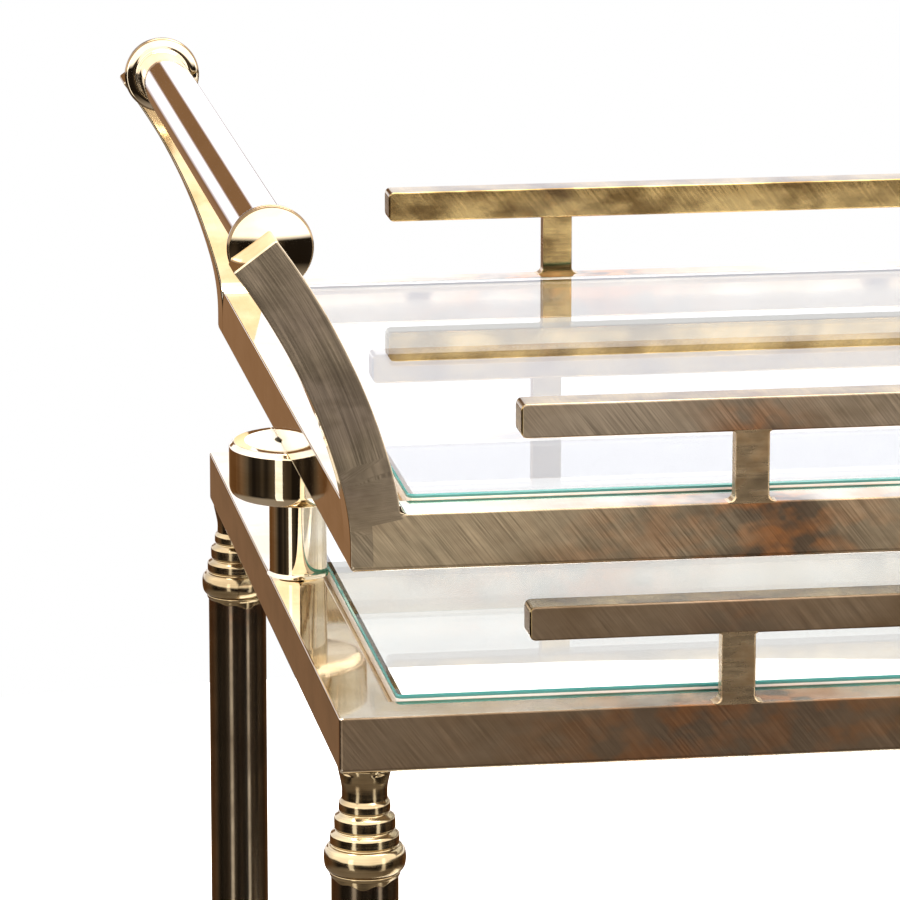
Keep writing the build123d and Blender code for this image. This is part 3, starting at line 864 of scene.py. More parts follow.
@dataclass
class Gallery:
    """A low rail along one side of a tray: a flat bar on short posts brazed to the frame."""

    tray: str
    side: str
    body: str
    satin: Brass
    edge: float = 0.8 * MM
    end_round: float = 2.5 * MM
    step: float = 8 * MM
    joint_reach: float = 13 * MM
    joint_stain: float = 0.8
    face_band: float = 0.25 * MM      # a face this near the outer side counts as on it

    def build(self, shop: Workshop) -> list[float]:
        """Makes the bar and works out where its posts stand.

        Args:
            shop: The workshop.

        Returns:
            Where along the cart the posts stand.
        """
        node = f"{self.tray}_{self.side}_gallery"
        low, high = node_box(node)
        posts = post_places(self.tray)
        outward = -1.0 if self.side == "front" else 1.0
        face_y = low[1] if self.side == "front" else high[1]
        joints = [(x, face_y, low[2]) for x in posts]
        bar = self.bar(low, high, outward)
        bar.braze = self.joint_stain * braze_stain(bar.points, joints, self.joint_reach)
        shop.piece(f"{self.tray}_{self.side}_gallery_bar", [bar], (self.satin, OLD_GOLD_BRASS), self.body,
                   [node])
        return posts

    def bar(self, low: np.ndarray, high: np.ndarray, outward: float) -> Surface:
        """Carries a rounded rectangle along X, its top and bottom drawn in near the rounded ends.

        At a distance d from the end, the height is drawn in by r minus the root of r squared minus
        (r - d) squared, for an end rounding of r.

        Args:
            low: Low corner of the bar's box.
            high: High corner of the bar's box.
            outward: Which way along Y the outer face looks.

        Returns:
            The bar's surface.
        """
        middle, half = (low + high) / 2, (high - low) / 2
        section = bar_section(half[1], half[2], self.edge, 4)
        turn = np.linspace(0, math.pi / 2, 7)
        start = self.end_round * (1 - np.cos(turn))
        run = np.linspace(self.end_round, 2 * half[0] - self.end_round, int(2 * half[0] / self.step))
        along = np.concatenate((start, run[1:-1], 2 * half[0] - start[::-1]))
        inside = np.minimum(np.minimum(along, 2 * half[0] - along), self.end_round)
        draw_in = self.end_round - np.sqrt(self.end_round ** 2 - (self.end_round - inside) ** 2)
        flat_end = np.minimum(inside, self.edge) - self.edge
        x = np.repeat((low[0] + along)[:, None], len(section), axis=1)
        y = middle[1] + section[None, :, 0] * (1 + flat_end[:, None] / half[1])
        z = middle[2] + section[None, :, 1] - np.sign(section[None, :, 1]) * draw_in[:, None]
        points = np.stack((x, y, z), axis=-1).reshape(-1, 3)
        quads = grid_quads(len(along), len(section), False, True)
        centre = points[quads].mean(axis=1)
        finish = np.where((centre[:, 1] - middle[1]) * outward > half[1] - self.face_band,
                          Face.SATIN.value, Face.POLISHED.value)
        return Surface(points, quads, end_caps(len(along), len(section)), finish, Face.SATIN.value,
                       diagonal_grain(points))


def post_places(tray: str) -> list[float]:
    """Works out where a tray's gallery posts stand along the cart, from the box round all of them.

    Args:
        tray: The tray's name.

    Returns:
        The left, middle and right places.
    """
    low, high = node_box(f"{tray}_gallery_posts")
    reach = (high[0] - low[0]) / 2 - GalleryPosts.width / 2 - GalleryPosts.flare
    middle = (low[0] + high[0]) / 2
    return [middle - reach, middle, middle + reach]


@dataclass
class GalleryPosts:
    """Flat posts with a flared foot, filed smooth, with a bead of braze under the gallery bar."""

    tray: str
    body: str
    width: float = 13.3 * MM
    depth: float = 7 * MM
    flare: float = 3 * MM
    braze: float = 0.9 * MM
    edge_share: float = 0.15          # rounding of an edge, as a share of the half width and half depth
    sunk: float = 0.6 * MM            # how far the braze carries the post into bar and frame
    joint_reach: float = 4 * MM
    joint_stain: float = 0.8
    inner_share: float = 0.97         # a face this share of the depth behind the outer one is the inner one

    def build(self, shop: Workshop) -> None:
        """Carries a rounded rectangle up each post, wider at the foot and a little wider at the top.

        The foot's half width grows by f minus the root of f squared minus (f - h) squared at a height h
        below the flare f, and the top grows the same way over the bead of braze.

        Args:
            shop: The workshop.
        """
        low, high = node_box(f"{self.tray}_gallery_posts")
        tall = high[2] - low[2]
        height = np.concatenate(((-self.sunk,), self.flare * (1 - np.cos(np.linspace(0, math.pi / 2, 8))),
                                 np.linspace(self.flare, tall - self.braze, 8)[1:],
                                 tall - self.braze * np.cos(np.linspace(0, math.pi / 2, 5))[1:],
                                 (tall + self.sunk,)))
        foot = np.clip(self.flare - height, 0, self.flare)
        head = np.clip(height - tall + self.braze, 0, self.braze)
        grow = (self.flare - np.sqrt(self.flare ** 2 - foot ** 2)
                + self.braze - np.sqrt(self.braze ** 2 - head ** 2))
        section = bar_section(1, 1, self.edge_share, 4)
        quads = grid_quads(len(height), len(section), False, True)
        caps = end_caps(len(height), len(section))
        posts = []
        for outward, y_face in ((-1, low[1]), (1, high[1])):
            for x in post_places(self.tray):
                across = x + section[None, :, 0] * (self.width / 2 + grow[:, None])
                depth = y_face - outward * self.depth / 2 + section[None, :, 1] * self.depth / 2
                levels = np.repeat((low[2] + height)[:, None], len(section), axis=1)
                points = np.stack(np.broadcast_arrays(across, depth, levels), axis=-1).reshape(-1, 3)
                behind = (y_face - points[quads].mean(axis=1)[:, 1]) * outward
                inner = behind > self.inner_share * self.depth
                stain = self.joint_stain * braze_stain(points, ((x, y_face, low[2]),), self.joint_reach)
                finish = np.where(inner, Face.POLISHED.value, Face.SATIN.value)
                posts.append(Surface(points, quads, caps, finish, grain=points, braze=stain))
        shop.piece(f"{self.tray}_gallery_post_set", posts, (POST_BRASS, OLD_GOLD_BRASS), self.body,
                   [f"{self.tray}_gallery_posts"])


# ---------------------------------------------------------------- handle


@dataclass
class Handle:
    """Two curved square arms that grow out of the top tray's corners, and the tube between them."""

    body: str = "top_tray"
    width: float = 20.1 * MM          # a hair more than the tube, so the filed faces run over the joint
    edge: float = 1.0 * MM
    foot: float = 22 * MM
    start: float = 2.2 * MM           # above the rail's rounded lower edge
    straight: float = 8 * MM
    bends: tuple = ((110 * MM, 15.0), (255 * MM, 21.6))      # radius and degrees
    end_bevel: float = 0.6 * MM
    face_band: float = 0.3 * MM       # a face this near the outer side counts as on it
    inset: float = 10 * MM            # from the frame's end to an arm's centre
    sunk: float = 0.05 * MM
    feather: float = 5 * MM           # how far the filed foot runs out along the rail
    feather_band: float = 1.6 * MM    # how much of the foot's width runs out
    feather_sunk: float = 0.15 * MM
    blend_above: float = 14 * MM      # above the foot, where the rubbing lines start to follow the arm
    blend_length: float = 20 * MM
    foot_stain: float = 0.85
    fillet: float = 3.2 * MM
    fillet_sunk: float = 0.4 * MM
    tube_radius: float = 11 * MM
    bead_radius: float = 16.5 * MM
    bead_length: float = 7 * MM
    dome: float = 2.0 * MM
    ring_width: float = 1.0 * MM      # outer part of a bead that takes the darker ring finish

    def path(self) -> tuple[np.ndarray, np.ndarray]:
        """Centreline of an arm in the XZ plane and its heading from upright.

        After the straight start, each bend adds radius times the change in cosine and sine of the heading.

        Returns:
            Two coordinates of each point, and the heading in radians.
        """
        points = [np.array(((0.0, self.start), (0.0, self.straight)))]
        headings = [np.zeros(2)]
        heading = 0.0
        for radius, turn in self.bends:
            angle = np.linspace(heading, heading + math.radians(turn), 18)
            ahead = (np.cos(angle) - math.cos(heading), np.sin(angle) - math.sin(heading))
            points.append((points[-1][-1] + radius * np.stack(ahead, axis=1))[1:])
            headings.append(angle[1:])
            heading = angle[-1]
        return np.vstack(points), np.concatenate(headings)

    def arm(self, corner: Sequence[float], side: float) -> list[Surface]:
        """One arm and the two fillets of braze at its foot.

        The edge of the foot that meets the rail runs out along it, a little below its face, so that arm and
        rail look filed as one. The rubbing lines turn from the rail's to the arm's over the blend length.

        Args:
            corner: The arm's centre at the frame's underside.
            side: Minus one at the front, one at the rear.

        Returns:
            The arm's surfaces.
        """
        flat, heading = self.path()
        zero = np.zeros(len(flat))
        origins = np.stack((flat[:, 0], zero, flat[:, 1]), axis=1) + np.array(corner)
        across = np.stack((np.cos(heading), zero, np.sin(heading)), axis=1)
        deep = np.tile((0.0, 1.0, 0.0), (len(flat), 1))
        half = self.width / 2
        arm = swept(bar_section(half, half, self.edge), origins, across, deep, self.end_bevel)
        outer = (arm.points[arm.quads].mean(axis=1)[:, 1] - corner[1]) * side > half - self.face_band
        arm.finish = np.where(outer, Face.SATIN.value, Face.POLISHED.value)
        in_frame = arm.points[:, 2] < corner[2] + self.foot
        feathered = in_frame & (arm.points[:, 0] > corner[0] + half - self.feather_band)
        arm.points[feathered, 0] += self.feather
        arm.points[feathered, 1] -= side * self.feather_sunk
        arm.cap_finish = Face.POLISHED.value
        blend_top = corner[2] + self.foot + self.blend_above
        foot = np.clip((blend_top - arm.points[:, 2]) / self.blend_length, 0, 1)[:, None]
        arm.grain = arm.grain * (1 - foot) + diagonal_grain(arm.points) * foot
        arm.braze = self.foot_stain * (1 - foot[:, 0])
        turn = np.linspace(0, math.pi / 2, 8)
        hollow = self.fillet * np.stack((1 - np.sin(turn), 1 - np.cos(turn)), axis=1)
        cove = np.vstack(((-self.fillet_sunk, -self.fillet_sunk), (self.fillet, -self.fillet_sunk), hollow,
                          (-self.fillet_sunk, self.fillet)))
        radius = self.bends[0][0]
        lean = -radius * (1 - math.cos(math.asin((self.foot - self.straight) / radius)))
        reach = half - self.fillet_sunk
        ends = np.array(((0, -reach, 0), (0, reach, 0)))
        upward = np.tile((0, 0, 1.0), (2, 1))
        beside = swept(cove, ends + np.array((corner[0] + half + lean, corner[1], corner[2] + self.foot)),
                       np.tile((1.0, 0, 0), (2, 1)), upward)
        foot_middle = np.array((corner[0] + lean, corner[1] - side * half, corner[2] + self.foot))
        behind = swept(cove, ends[:, [1, 0, 2]] + foot_middle, np.tile((0, -side, 0.0), (2, 1)), upward)
        for fillet in (beside, behind):
            fillet.finish = np.full(len(fillet.quads), Face.POLISHED.value)
            fillet.cap_finish = Face.POLISHED.value
        return [arm, beside, behind]

    def bead(self) -> np.ndarray:
        """Profile of a ring bead, from its slightly domed face against the arm to the tube.

        The dome comes first and falls back with the square of the radius, then a thin ridge, a groove and a
        half-round bead.

        Returns:
            Radius and height, one row each.
        """
        full, tall = self.bead_radius, self.bead_length
        ridge, groove = full - 0.3 * MM, full - 1.3 * MM
        across = np.linspace(0, full - 0.9 * MM, 10)
        dome = np.stack((across, self.dome * (across / across[-1]) ** 2), axis=1)
        rim = rounded_profile((
            (across[-1], self.dome, 0), (ridge, self.dome + 0.2 * MM, 0.4 * MM), (ridge, 2.9 * MM, 0.3 * MM),
            (groove, 3.1 * MM, 0.2 * MM), (groove, 3.4 * MM, 0.2 * MM), (full, 3.6 * MM, 1.5 * MM),
            (full, 6.4 * MM, 1.5 * MM), (full - 3.4 * MM, tall, 0.8 * MM),
            (self.tube_radius + 0.5 * MM, tall, 0.4 * MM),
            (self.tube_radius + 0.3 * MM, tall + 1.0 * MM, 0.3 * MM), (0, tall + 1.0 * MM, 0)), 6)
        return np.vstack((dome, rim[1:]))

    def build(self, shop: Workshop) -> None:
        """Makes both arms, both beads and the tube.

        Args:
            shop: The workshop.
        """
        frame_low, _ = node_box("upper_left_rail")
        for side_name, side in (("front", -1), ("rear", 1)):
            node = f"{side_name}_handle_arm"
            low, high = node_box(node)
            corner = (frame_low[0] + self.inset, (low[1] + high[1]) / 2, frame_low[2] - self.sunk)
            shop.piece(f"{node}_bar", self.arm(corner, side), (ARM_BRASS, ARM_POLISH), self.body,
                       [node])
        low, high = node_box("handle_bar")
        axis = (low + high) / 2
        half_tube = (high[1] - low[1]) / 2
        beads = []
        for side in (-1, 1):
            ring = lathe(self.bead(), 96)
            from_axis = np.linalg.norm(ring.points[ring.quads].mean(axis=1)[:, :2], axis=1)
            on_dome = from_axis < self.bead_radius - self.ring_width
            ring.finish = np.where(on_dome, RingFace.DOME.value, RingFace.RIM.value)
            beads.append(placed(ring, (axis[0], side * (half_tube + self.bead_length), axis[2]),
                                ALONG_Y * np.array((1, -side, 1))))
        shop.piece("handle_beads", beads, (ARM_POLISH, RING_BRASS), self.body,
                   ["handle_ferrules"])
        tube = placed(lathe(rod_profile(self.tube_radius, -half_tube, half_tube), 96), axis, ALONG_Y)
        shop.piece("handle_tube", [tube], (HANDLE_BRASS,), self.body, ["handle_bar"])


# ---------------------------------------------------------------- swivel


@dataclass
class Swivel:
    """The post and the thick puck that the top tray turns on."""

    body: str = "base"
    top_chamfer: float = 1.8 * MM
    bottom_round: float = 5 * MM
    braze: float = 1.1 * MM

    def build(self, shop: Workshop) -> None:
        """Turns the puck, hollow on top for the washer, and the post with a bead of braze at its foot.

        Args:
            shop: The workshop.
        """
        low, high = node_box("swivel_puck")
        washer_low, washer_high = node_box("thrust_washer")
        radius, tall = (high[0] - low[0]) / 2, high[2] - low[2]
        seat = (washer_high[0] - washer_low[0]) / 2
        floor = washer_low[2] - low[2]
        puck = rounded_profile((
            (0, 0, 0), (radius, 0, self.bottom_round), (radius, tall - self.top_chamfer, 0.5 * MM),
            (radius - self.top_chamfer, tall, 0.5 * MM), (seat, tall, 0.1 * MM), (seat, floor, 0.1 * MM),
            (0, floor, 0)), 8)
        centre = (low + high) / 2
        shop.piece("swivel_puck_turned", [placed(lathe(puck, 128), (centre[0], centre[1], low[2]))],
                   (POLISHED_BRASS,), self.body, ["swivel_puck"])
        low, high = node_box("swivel_post")
        radius, tall = (high[0] - low[0]) / 2, high[2] - low[2]
        post = rounded_profile((
            (0, 0, 0), (radius + self.braze, 0, 0.1 * MM), (radius + 0.1 * MM, self.braze, 1.0 * MM),
            (radius, 2 * self.braze, 0.4 * MM), (radius, tall, 0), (0, tall, 0)), 6)
        shop.piece("swivel_post_tube", [placed(lathe(post, 96), (centre[0], centre[1], low[2]))],
                   (POLISHED_BRASS,), self.body, ["swivel_post"])


# ---------------------------------------------------------------- legs


@dataclass
class Ferrules:
    """Cast ferrules cleaned up on a lathe: a scalloped flare, a neck, three steps, a bead and some braze."""

    flare: float = 10.4 * MM
    neck: float = 8.8 * MM
    neck_length: float = 12.5 * MM
    step_radii: tuple = (10.0 * MM, 11.8 * MM, 13.4 * MM)
    step_lengths: tuple = (5.4 * MM, 7.1 * MM, 6.0 * MM)
    step_slope: float = 0.22          # share of a step's length that its sloping shoulder takes
    step_undercut: float = 0.5 * MM
    step_round: float = 0.8 * MM
    bead_radius: float = 15.9 * MM
    bead_length: float = 10.0 * MM
    bead_fullness: float = 0.7        # one is an ellipse, less is fuller
    bead_sunk: float = 0.3 * MM
    lip_radius: float = 13.9 * MM
    length: float = 43.4 * MM
    tube_radius: float = 13.0 * MM
    ripple: float = 0.10 * MM
    tongue: float = 2.6 * MM
    scallop: float = 1.3 * MM
    socket_radius: float = 5.8 * MM
    socket_clearance: float = 1 * MM

    def profile(self, sleeve: float = 0.0, socket: float = 0.0) -> np.ndarray:
        """Radius and height of a ferrule that hangs from zero.

        Args:
            sleeve: Length of plain sleeve under the lip.
            socket: Depth of the hole in the sleeve's end.

        Returns:
            The profile, closed on the axis at both ends.
        """
        corners = [(0, 0, 0), (self.flare, 0, 0.3 * MM), (self.flare - 0.2 * MM, -1.6 * MM, 0.8 * MM),
                   (self.neck, -7.2 * MM, 4 * MM), (self.neck, -self.neck_length, 0.5 * MM)]
        level = -self.neck_length
        above = self.neck
        for radius, length in zip(self.step_radii, self.step_lengths):
            corners += [(above + 0.1 * MM, level, 0.2 * MM),
                        (radius, level - self.step_slope * length, self.step_round),
                        (radius, level - length + 0.9 * MM, self.step_round),
                        (radius - self.step_undercut, level - length + 0.35 * MM, 0.3 * MM)]
            level -= length
            above = radius - self.step_undercut
        root = self.step_radii[-1] - self.bead_sunk
        half = self.bead_length / 2
        for turn in np.linspace(math.pi / 2, -math.pi / 2, 15).tolist():
            full = max(math.cos(turn), 0.0) ** self.bead_fullness
            bulge = (self.bead_radius - root) * full
            corners.append((root + bulge, level - half + half * math.sin(turn), 0))
        end = level - self.bead_length
        corners += [(self.lip_radius, end - 0.5 * MM, 0.5 * MM),
                    (self.lip_radius - 0.3 * MM, end - 1.8 * MM, 0.9 * MM),
                    (self.tube_radius + 0.15 * MM, -self.length, 0.2 * MM)]
        if sleeve:
            bottom = -self.length - sleeve
            corners += [(self.tube_radius, -self.length - 0.3 * MM, 0.1 * MM),
                        (self.tube_radius, bottom, 0.5 * MM), (self.socket_radius, bottom, 0.3 * MM),
                        (self.socket_radius, bottom + socket, 0.3 * MM), (0, bottom + socket, 0)]
        else:
            bottom = -self.length - 0.1 * MM
            corners += [(self.tube_radius - 1 * MM, bottom, 0), (0, bottom, 0)]
        return rounded_profile(corners, 6)

    def worked(self, seed: int) -> LatheChange:
        """What casting and brazing leave on one ferrule.

        The radius gets a sum of slow waves in angle and height, two hollows near the top, each a bell curve
        of angle and height, and the last ring of braze hangs lower where four bell curves of angle say so.

        Args:
            seed: Number that makes this ferrule differ from the next.

        Returns:
            A function for lathe().
        """
        phase = np.random.default_rng(seed).uniform(0, 2 * math.pi, 8)
        front = -math.pi / 2 + 0.25 * math.sin(phase[0])

        def bell(angle: np.ndarray, middle: float, width: float) -> np.ndarray:
            """Bell curve round the axis, in radians."""
            away = np.angle(np.exp(1j * (angle - middle)))
            return np.exp(-(away / width) ** 2)

        def change(radius: np.ndarray, height: np.ndarray,
                   angle: np.ndarray) -> tuple[np.ndarray, np.ndarray]:
            """Adds the waves, the hollows and the run of braze."""
            wave = (np.sin(3 * angle + phase[1] + height / (1.9 * MM))
                    + np.sin(5 * angle + phase[2] - height / (2.7 * MM))
                    + np.sin(2 * angle + phase[3] + height / (1.1 * MM)))
            body = np.clip(-height / (2 * MM), 0, 1) * np.clip((height + self.length) / (3 * MM), 0, 1)
            off_axis = radius > 5 * MM
            radius = radius + self.ripple * wave / 3 * body * off_axis
            hollow = bell(angle, front - 0.75, 0.30) + bell(angle, front + 0.75, 0.30)
            near_top = np.exp(-((height + 1.3 * MM) / (1.4 * MM)) ** 2)
            radius = radius - self.scallop * hollow * near_top * (height < -0.05 * MM) * (radius > 5 * MM)
            run = (bell(angle, front, 0.34) + 0.55 * bell(angle, front + 0.62, 0.2)
                   + 0.45 * bell(angle, front - 0.7, 0.25) + 0.35 * bell(angle, front + 2.9, 0.5))
            above_end = height + self.length
            lowest = (above_end < 0.35 * MM) & (above_end > -0.05 * MM) & (radius > 13 * MM)
            return radius, height - self.tongue * run * lowest

        return change

    def build(self, shop: Workshop, body: str, places: Sequence[tuple[float, float]]) -> None:
        """Makes the three sets of ferrules.

        Args:
            shop: The workshop.
            body: Body that they ride on.
            places: Leg axes.
        """
        _, top_high = node_box("leg_top_ferrules")
        bottom_low, _ = node_box("leg_bottom_ferrules")
        foot_low, foot_high = node_box("foot_ferrules")
        _, stem_high = node_box("front_left_caster_fork")
        upside_down = np.diag((1.0, -1.0, -1.0))
        tops, bottoms, feet = [], [], []
        plain = self.profile()
        footed = self.profile(foot_high[2] - foot_low[2] - self.length,
                              stem_high[2] - foot_low[2] + self.socket_clearance)
        for number, (x, y) in enumerate(places):
            tops.append(placed(lathe(plain, 96, self.worked(number)), (x, y, top_high[2])))
            bottoms.append(placed(lathe(plain, 96, self.worked(number + 10)), (x, y, bottom_low[2]),
                                  upside_down))
            feet.append(placed(lathe(footed, 96, self.worked(number + 20)), (x, y, foot_high[2])))
        for name, surfaces, node in (("leg_top_ferrule_set", tops, "leg_top_ferrules"),
                                     ("leg_bottom_ferrule_set", bottoms, "leg_bottom_ferrules"),
                                     ("foot_ferrule_set", feet, "foot_ferrules")):
            shop.piece(name, surfaces, (CAST_BRASS,), body, [node])


@dataclass
class Leg:
    """Drawn round tube between two ferrules."""

    corner: str
    body: str = "base"
    sunk: float = 0.5 * MM            # how far each end runs into its ferrule
    joint_reach: float = 14 * MM
    joint_stain: float = 0.6

    def build(self, shop: Workshop) -> tuple[float, float]:
        """Turns the tube.

        Args:
            shop: The workshop.

        Returns:
            The leg's axis.
        """
        node = f"{self.corner}_leg"
        low, high = node_box(node)
        centre, radius = (low + high) / 2, (high[0] - low[0]) / 2
        rod = lathe(rod_profile(radius, low[2] - self.sunk, high[2] + self.sunk))
        x, y, z = rod.points.T
        rod.grain = np.stack((z, 0.2 * z, x + 0.8 * y), axis=1)
        tube = placed(rod, (centre[0], centre[1], 0))
        ends = ((centre[0], centre[1], low[2]), (centre[0], centre[1], high[2]))
        tube.braze = self.joint_stain * braze_stain(tube.points, ends, self.joint_reach)
        shop.piece(f"{node}_tube", [tube], (TUBE_BRASS,), self.body, [node])
        return float(centre[0]), float(centre[1])


# ---------------------------------------------------------------- casters


@dataclass
class Caster:
    """A swivel caster: pressed fork, spun brass wheel centre and rubber tyre."""

    corner: str
    cheek: float = 2.5 * MM
    crown: float = 3 * MM
    boss: float = 7.5 * MM
    half_gap: float = 10 * MM
    crown_half: float = 15 * MM
    crown_corner: float = 3 * MM
    plate_bevel: float = 0.5 * MM
    seat_gap: float = 1 * MM          # between the crown and the ferrule, filled by a washer
    washer: float = 0.9 * MM
    washer_radius: float = 8 * MM
    stem_radius: float = 5 * MM
    raceway_radius: float = 9.3 * MM
    raceway_top: float = -2.6 * MM    # from the crown's top
    raceway_low: float = -5.5 * MM
    half_rim: float = 7 * MM

    def plate(self, outline: np.ndarray, thickness: float, bevel: float) -> Surface:
        """A flat plate with bevelled edges, its outline drawn in by the bevel towards its middle.

        Args:
            outline: Closed outline, one row for each point.
            thickness: Plate thickness.
            bevel: Size of the bevel.

        Returns:
            The plate, lying on the XY plane.
        """
        ahead = np.roll(outline, -1, axis=0) - np.roll(outline, 1, axis=0)
        inward = np.stack((-ahead[:, 1], ahead[:, 0]), axis=1)
        inward /= np.linalg.norm(inward, axis=1)[:, None]
        rows = ((bevel, 0.0), (0.3 * bevel, 0.3 * bevel), (0.0, bevel), (0.0, thickness - bevel),
                (0.3 * bevel, thickness - 0.3 * bevel), (bevel, thickness))
        points = np.vstack([np.column_stack((outline + inward * inset, np.full(len(outline), level)))
                            for inset, level in rows])
        return Surface(points, grid_quads(len(rows), len(outline), False, True),
                       end_caps(len(rows), len(outline)))

    def cheek_outline(self, crown_top: float, axle: np.ndarray) -> np.ndarray:
        """Side view of a cheek: the crown's width above, and lines that run down to the axle's round boss.

        The boss's arc runs between the two points where lines from the crown's corners touch its circle.

        Args:
            crown_top: Height of the crown's top.
            axle: The wheel's centre, along the cart and up.

        Returns:
            The outline, one row each.
        """
        corners = np.array(((self.crown_half, crown_top), (-self.crown_half, crown_top)))
        angles = []
        for number, corner in enumerate(corners):
            away = corner - axle
            reach = math.acos(self.boss / float(np.linalg.norm(away)))
            angles.append(math.atan2(away[1], away[0]) + (reach if number else -reach))
        turn = np.linspace(angles[1], angles[0] + 2 * math.pi, 24)
        arc = axle + self.boss * np.stack((np.cos(turn), np.sin(turn)), axis=1)
        return np.vstack((corners, arc))

    def fork(self, axis: np.ndarray, wheel: np.ndarray, stem_top: float) -> list[Surface]:
        """The two cheeks, the crown, the stem with its washer, and the raceway under the crown.

        Args:
            axis: Centre of the leg above.
            wheel: The wheel's centre.
            stem_top: Height of the stem's end.

        Returns:
            The fork's surfaces.
        """
        foot_low, _ = node_box("foot_ferrules")
        crown_top = foot_low[2] - self.seat_gap
        outline = self.cheek_outline(crown_top, np.array((wheel[0] - axis[0], wheel[2])))
        cheek = self.plate(outline, self.cheek, self.plate_bevel)
        cheeks = [placed(cheek, (axis[0], axis[1] + y, 0), STANDING)
                  for y in (-self.half_gap, self.half_gap + self.cheek)]
        top = bar_section(self.crown_half, self.half_gap + self.cheek, self.crown_corner, 6)
        crown = placed(self.plate(top, self.crown, self.plate_bevel),
                       (axis[0], axis[1], crown_top - self.crown))
        tall = stem_top - crown_top
        stem = rounded_profile((
            (0, 0, 0), (self.washer_radius, 0, 0), (self.washer_radius, self.washer, 0.2 * MM),
            (self.stem_radius, self.washer, 0), (self.stem_radius, tall, 0.6 * MM), (0, tall, 0)), 4)
        shoulder = self.raceway_top - 0.6 * MM
        raceway = rounded_profile(((0, self.raceway_low, 0), (7 * MM, self.raceway_low, 1.2 * MM),
                                   (self.raceway_radius, shoulder, 0.8 * MM),
                                   (self.raceway_radius, self.raceway_top, 0), (0, self.raceway_top, 0)), 5)
        turned = [placed(lathe(shape, 48), (axis[0], axis[1], crown_top)) for shape in (stem, raceway)]
        return [*cheeks, crown, *turned]

    def turned_ring(self, half: Sequence[tuple[float, float, float]], steps: int) -> Surface:
        """Turns a closed profile that is the same on both sides of its middle.

        Args:
            half: Radius, distance from the middle and rounding for each corner of one side.
            steps: Points round the axis.

        Returns:
            The ring, round the Z axis.
        """
        other = tuple((radius, -level, rounding) for radius, level, rounding in reversed(half))
        profile = rounded_profile((*half, *other), 6, True)
        return lathe(np.vstack((profile, profile[:1])), steps)

    def build(self, shop: Workshop) -> None:
        """Makes the fork, the wheel centre and the tyre.

        Args:
            shop: The workshop.
        """
        fork_node = f"{self.corner}_caster_fork"
        wheel_node = f"{self.corner}_caster_wheel"
        tyre_node = f"{self.corner}_caster_tyre"
        leg_low, leg_high = node_box(f"{self.corner}_leg")
        _, fork_high = node_box(fork_node)
        wheel_low, wheel_high = node_box(wheel_node)
        tyre_low, tyre_high = node_box(tyre_node)
        wheel = (wheel_low + wheel_high) / 2
        fork = self.fork((leg_low + leg_high) / 2, wheel, fork_high[2])
        shop.piece(f"{self.corner}_fork", fork, (TUBE_BRASS,), f"{self.corner}_caster",
                   [fork_node])
        _, half_hub, inner = (wheel_high - wheel_low) / 2
        _, half_tyre, radius = (tyre_high - tyre_low) / 2
        centre = self.turned_ring((
            (3.05 * MM, half_hub, 0.2 * MM), (6.6 * MM, half_hub, 0.8 * MM), (7.0 * MM, 3.2 * MM, 1.5 * MM),
            (13.6 * MM, 2.2 * MM, 1.5 * MM), (15.0 * MM, self.half_rim, 0.5 * MM),
            (inner, self.half_rim, 0.4 * MM)), 72)
        shop.piece(f"{self.corner}_wheel_centre", [placed(centre, wheel, ALONG_Y)], (POLISHED_BRASS,),
                   f"{self.corner}_wheel", [wheel_node])
        tyre = self.turned_ring((
            (inner, half_tyre, 0.3 * MM), (inner + 1.6 * MM, half_tyre, 0.4 * MM),
            (inner + 2.0 * MM, half_tyre - 0.5 * MM, 0.3 * MM),
            (radius - 2.6 * MM, half_tyre - 0.3 * MM, 1.2 * MM), (radius - 0.5 * MM, 0.45 * half_tyre, 3 * MM),
            (radius, 0.35 * MM, 0.2 * MM)), 96)
        shop.piece(f"{self.corner}_tyre", [placed(tyre, wheel, ALONG_Y)], (TYRE_RUBBER,),
                   f"{self.corner}_wheel", [tyre_node])


# ---------------------------------------------------------------- whole cart and studio


@dataclass
class Cart:
    """The whole cart, built tray by tray."""

    shop: Workshop
    nodes: dict[str, bpy.types.Object]

    def build(self) -> None:
        """Builds every piece and dresses the nodes that keep their shape."""
        for tray, body, satin, bar in (("upper", "top_tray", SATIN_BRASS, BAR_BRASS),
                                       ("lower", "base", AGED_SATIN_BRASS, AGED_SATIN_BRASS),
                                       ("shelf", "base", AGED_SATIN_BRASS, AGED_SATIN_BRASS)):
            joints = []
            if tray != "shelf":
                for side, outward in (("front", -1), ("rear", 1)):
                    places = Gallery(tray, side, body, bar).build(self.shop)
                    low, high = node_box(f"{tray}_{side}_rail")
                    face_y = low[1] if outward < 0 else high[1]
                    joints += [(x, face_y, high[2]) for x in places]
                GalleryPosts(tray, body).build(self.shop)
            end = POLISHED_BRASS if tray == "upper" else GREY_POLISH
            corner, _ = node_box(f"{tray}_left_rail")
            TrayFrame(tray, body, satin, end).build(self.shop, joints or [corner])
            GlassPanel(tray, body).build(self.shop)
            self.shop.dress(self.nodes[f"{tray}_glass_ledges"], LEDGE_BRASS)
        Handle().build(self.shop)
        Swivel().build(self.shop)
        axes = [Leg(corner).build(self.shop) for corner in CORNERS]
        Ferrules().build(self.shop, "base", axes)
        for corner in CORNERS:
            Caster(corner).build(self.shop)
            self.shop.dress(self.nodes[f"{corner}_caster_axle"], ZINC_STEEL)
        for name in ("pivot_pin", "pivot_block", "pivot_collar", "leg_tie_bolts", "puck_set_screw"):
            self.shop.dress(self.nodes[name], ZINC_STEEL)
        self.shop.dress(self.nodes["pivot_bush"], BEARING_BRONZE)
        self.shop.dress(self.nodes["thrust_washer"], NYLON)


Light = tuple[float, float, float, float]


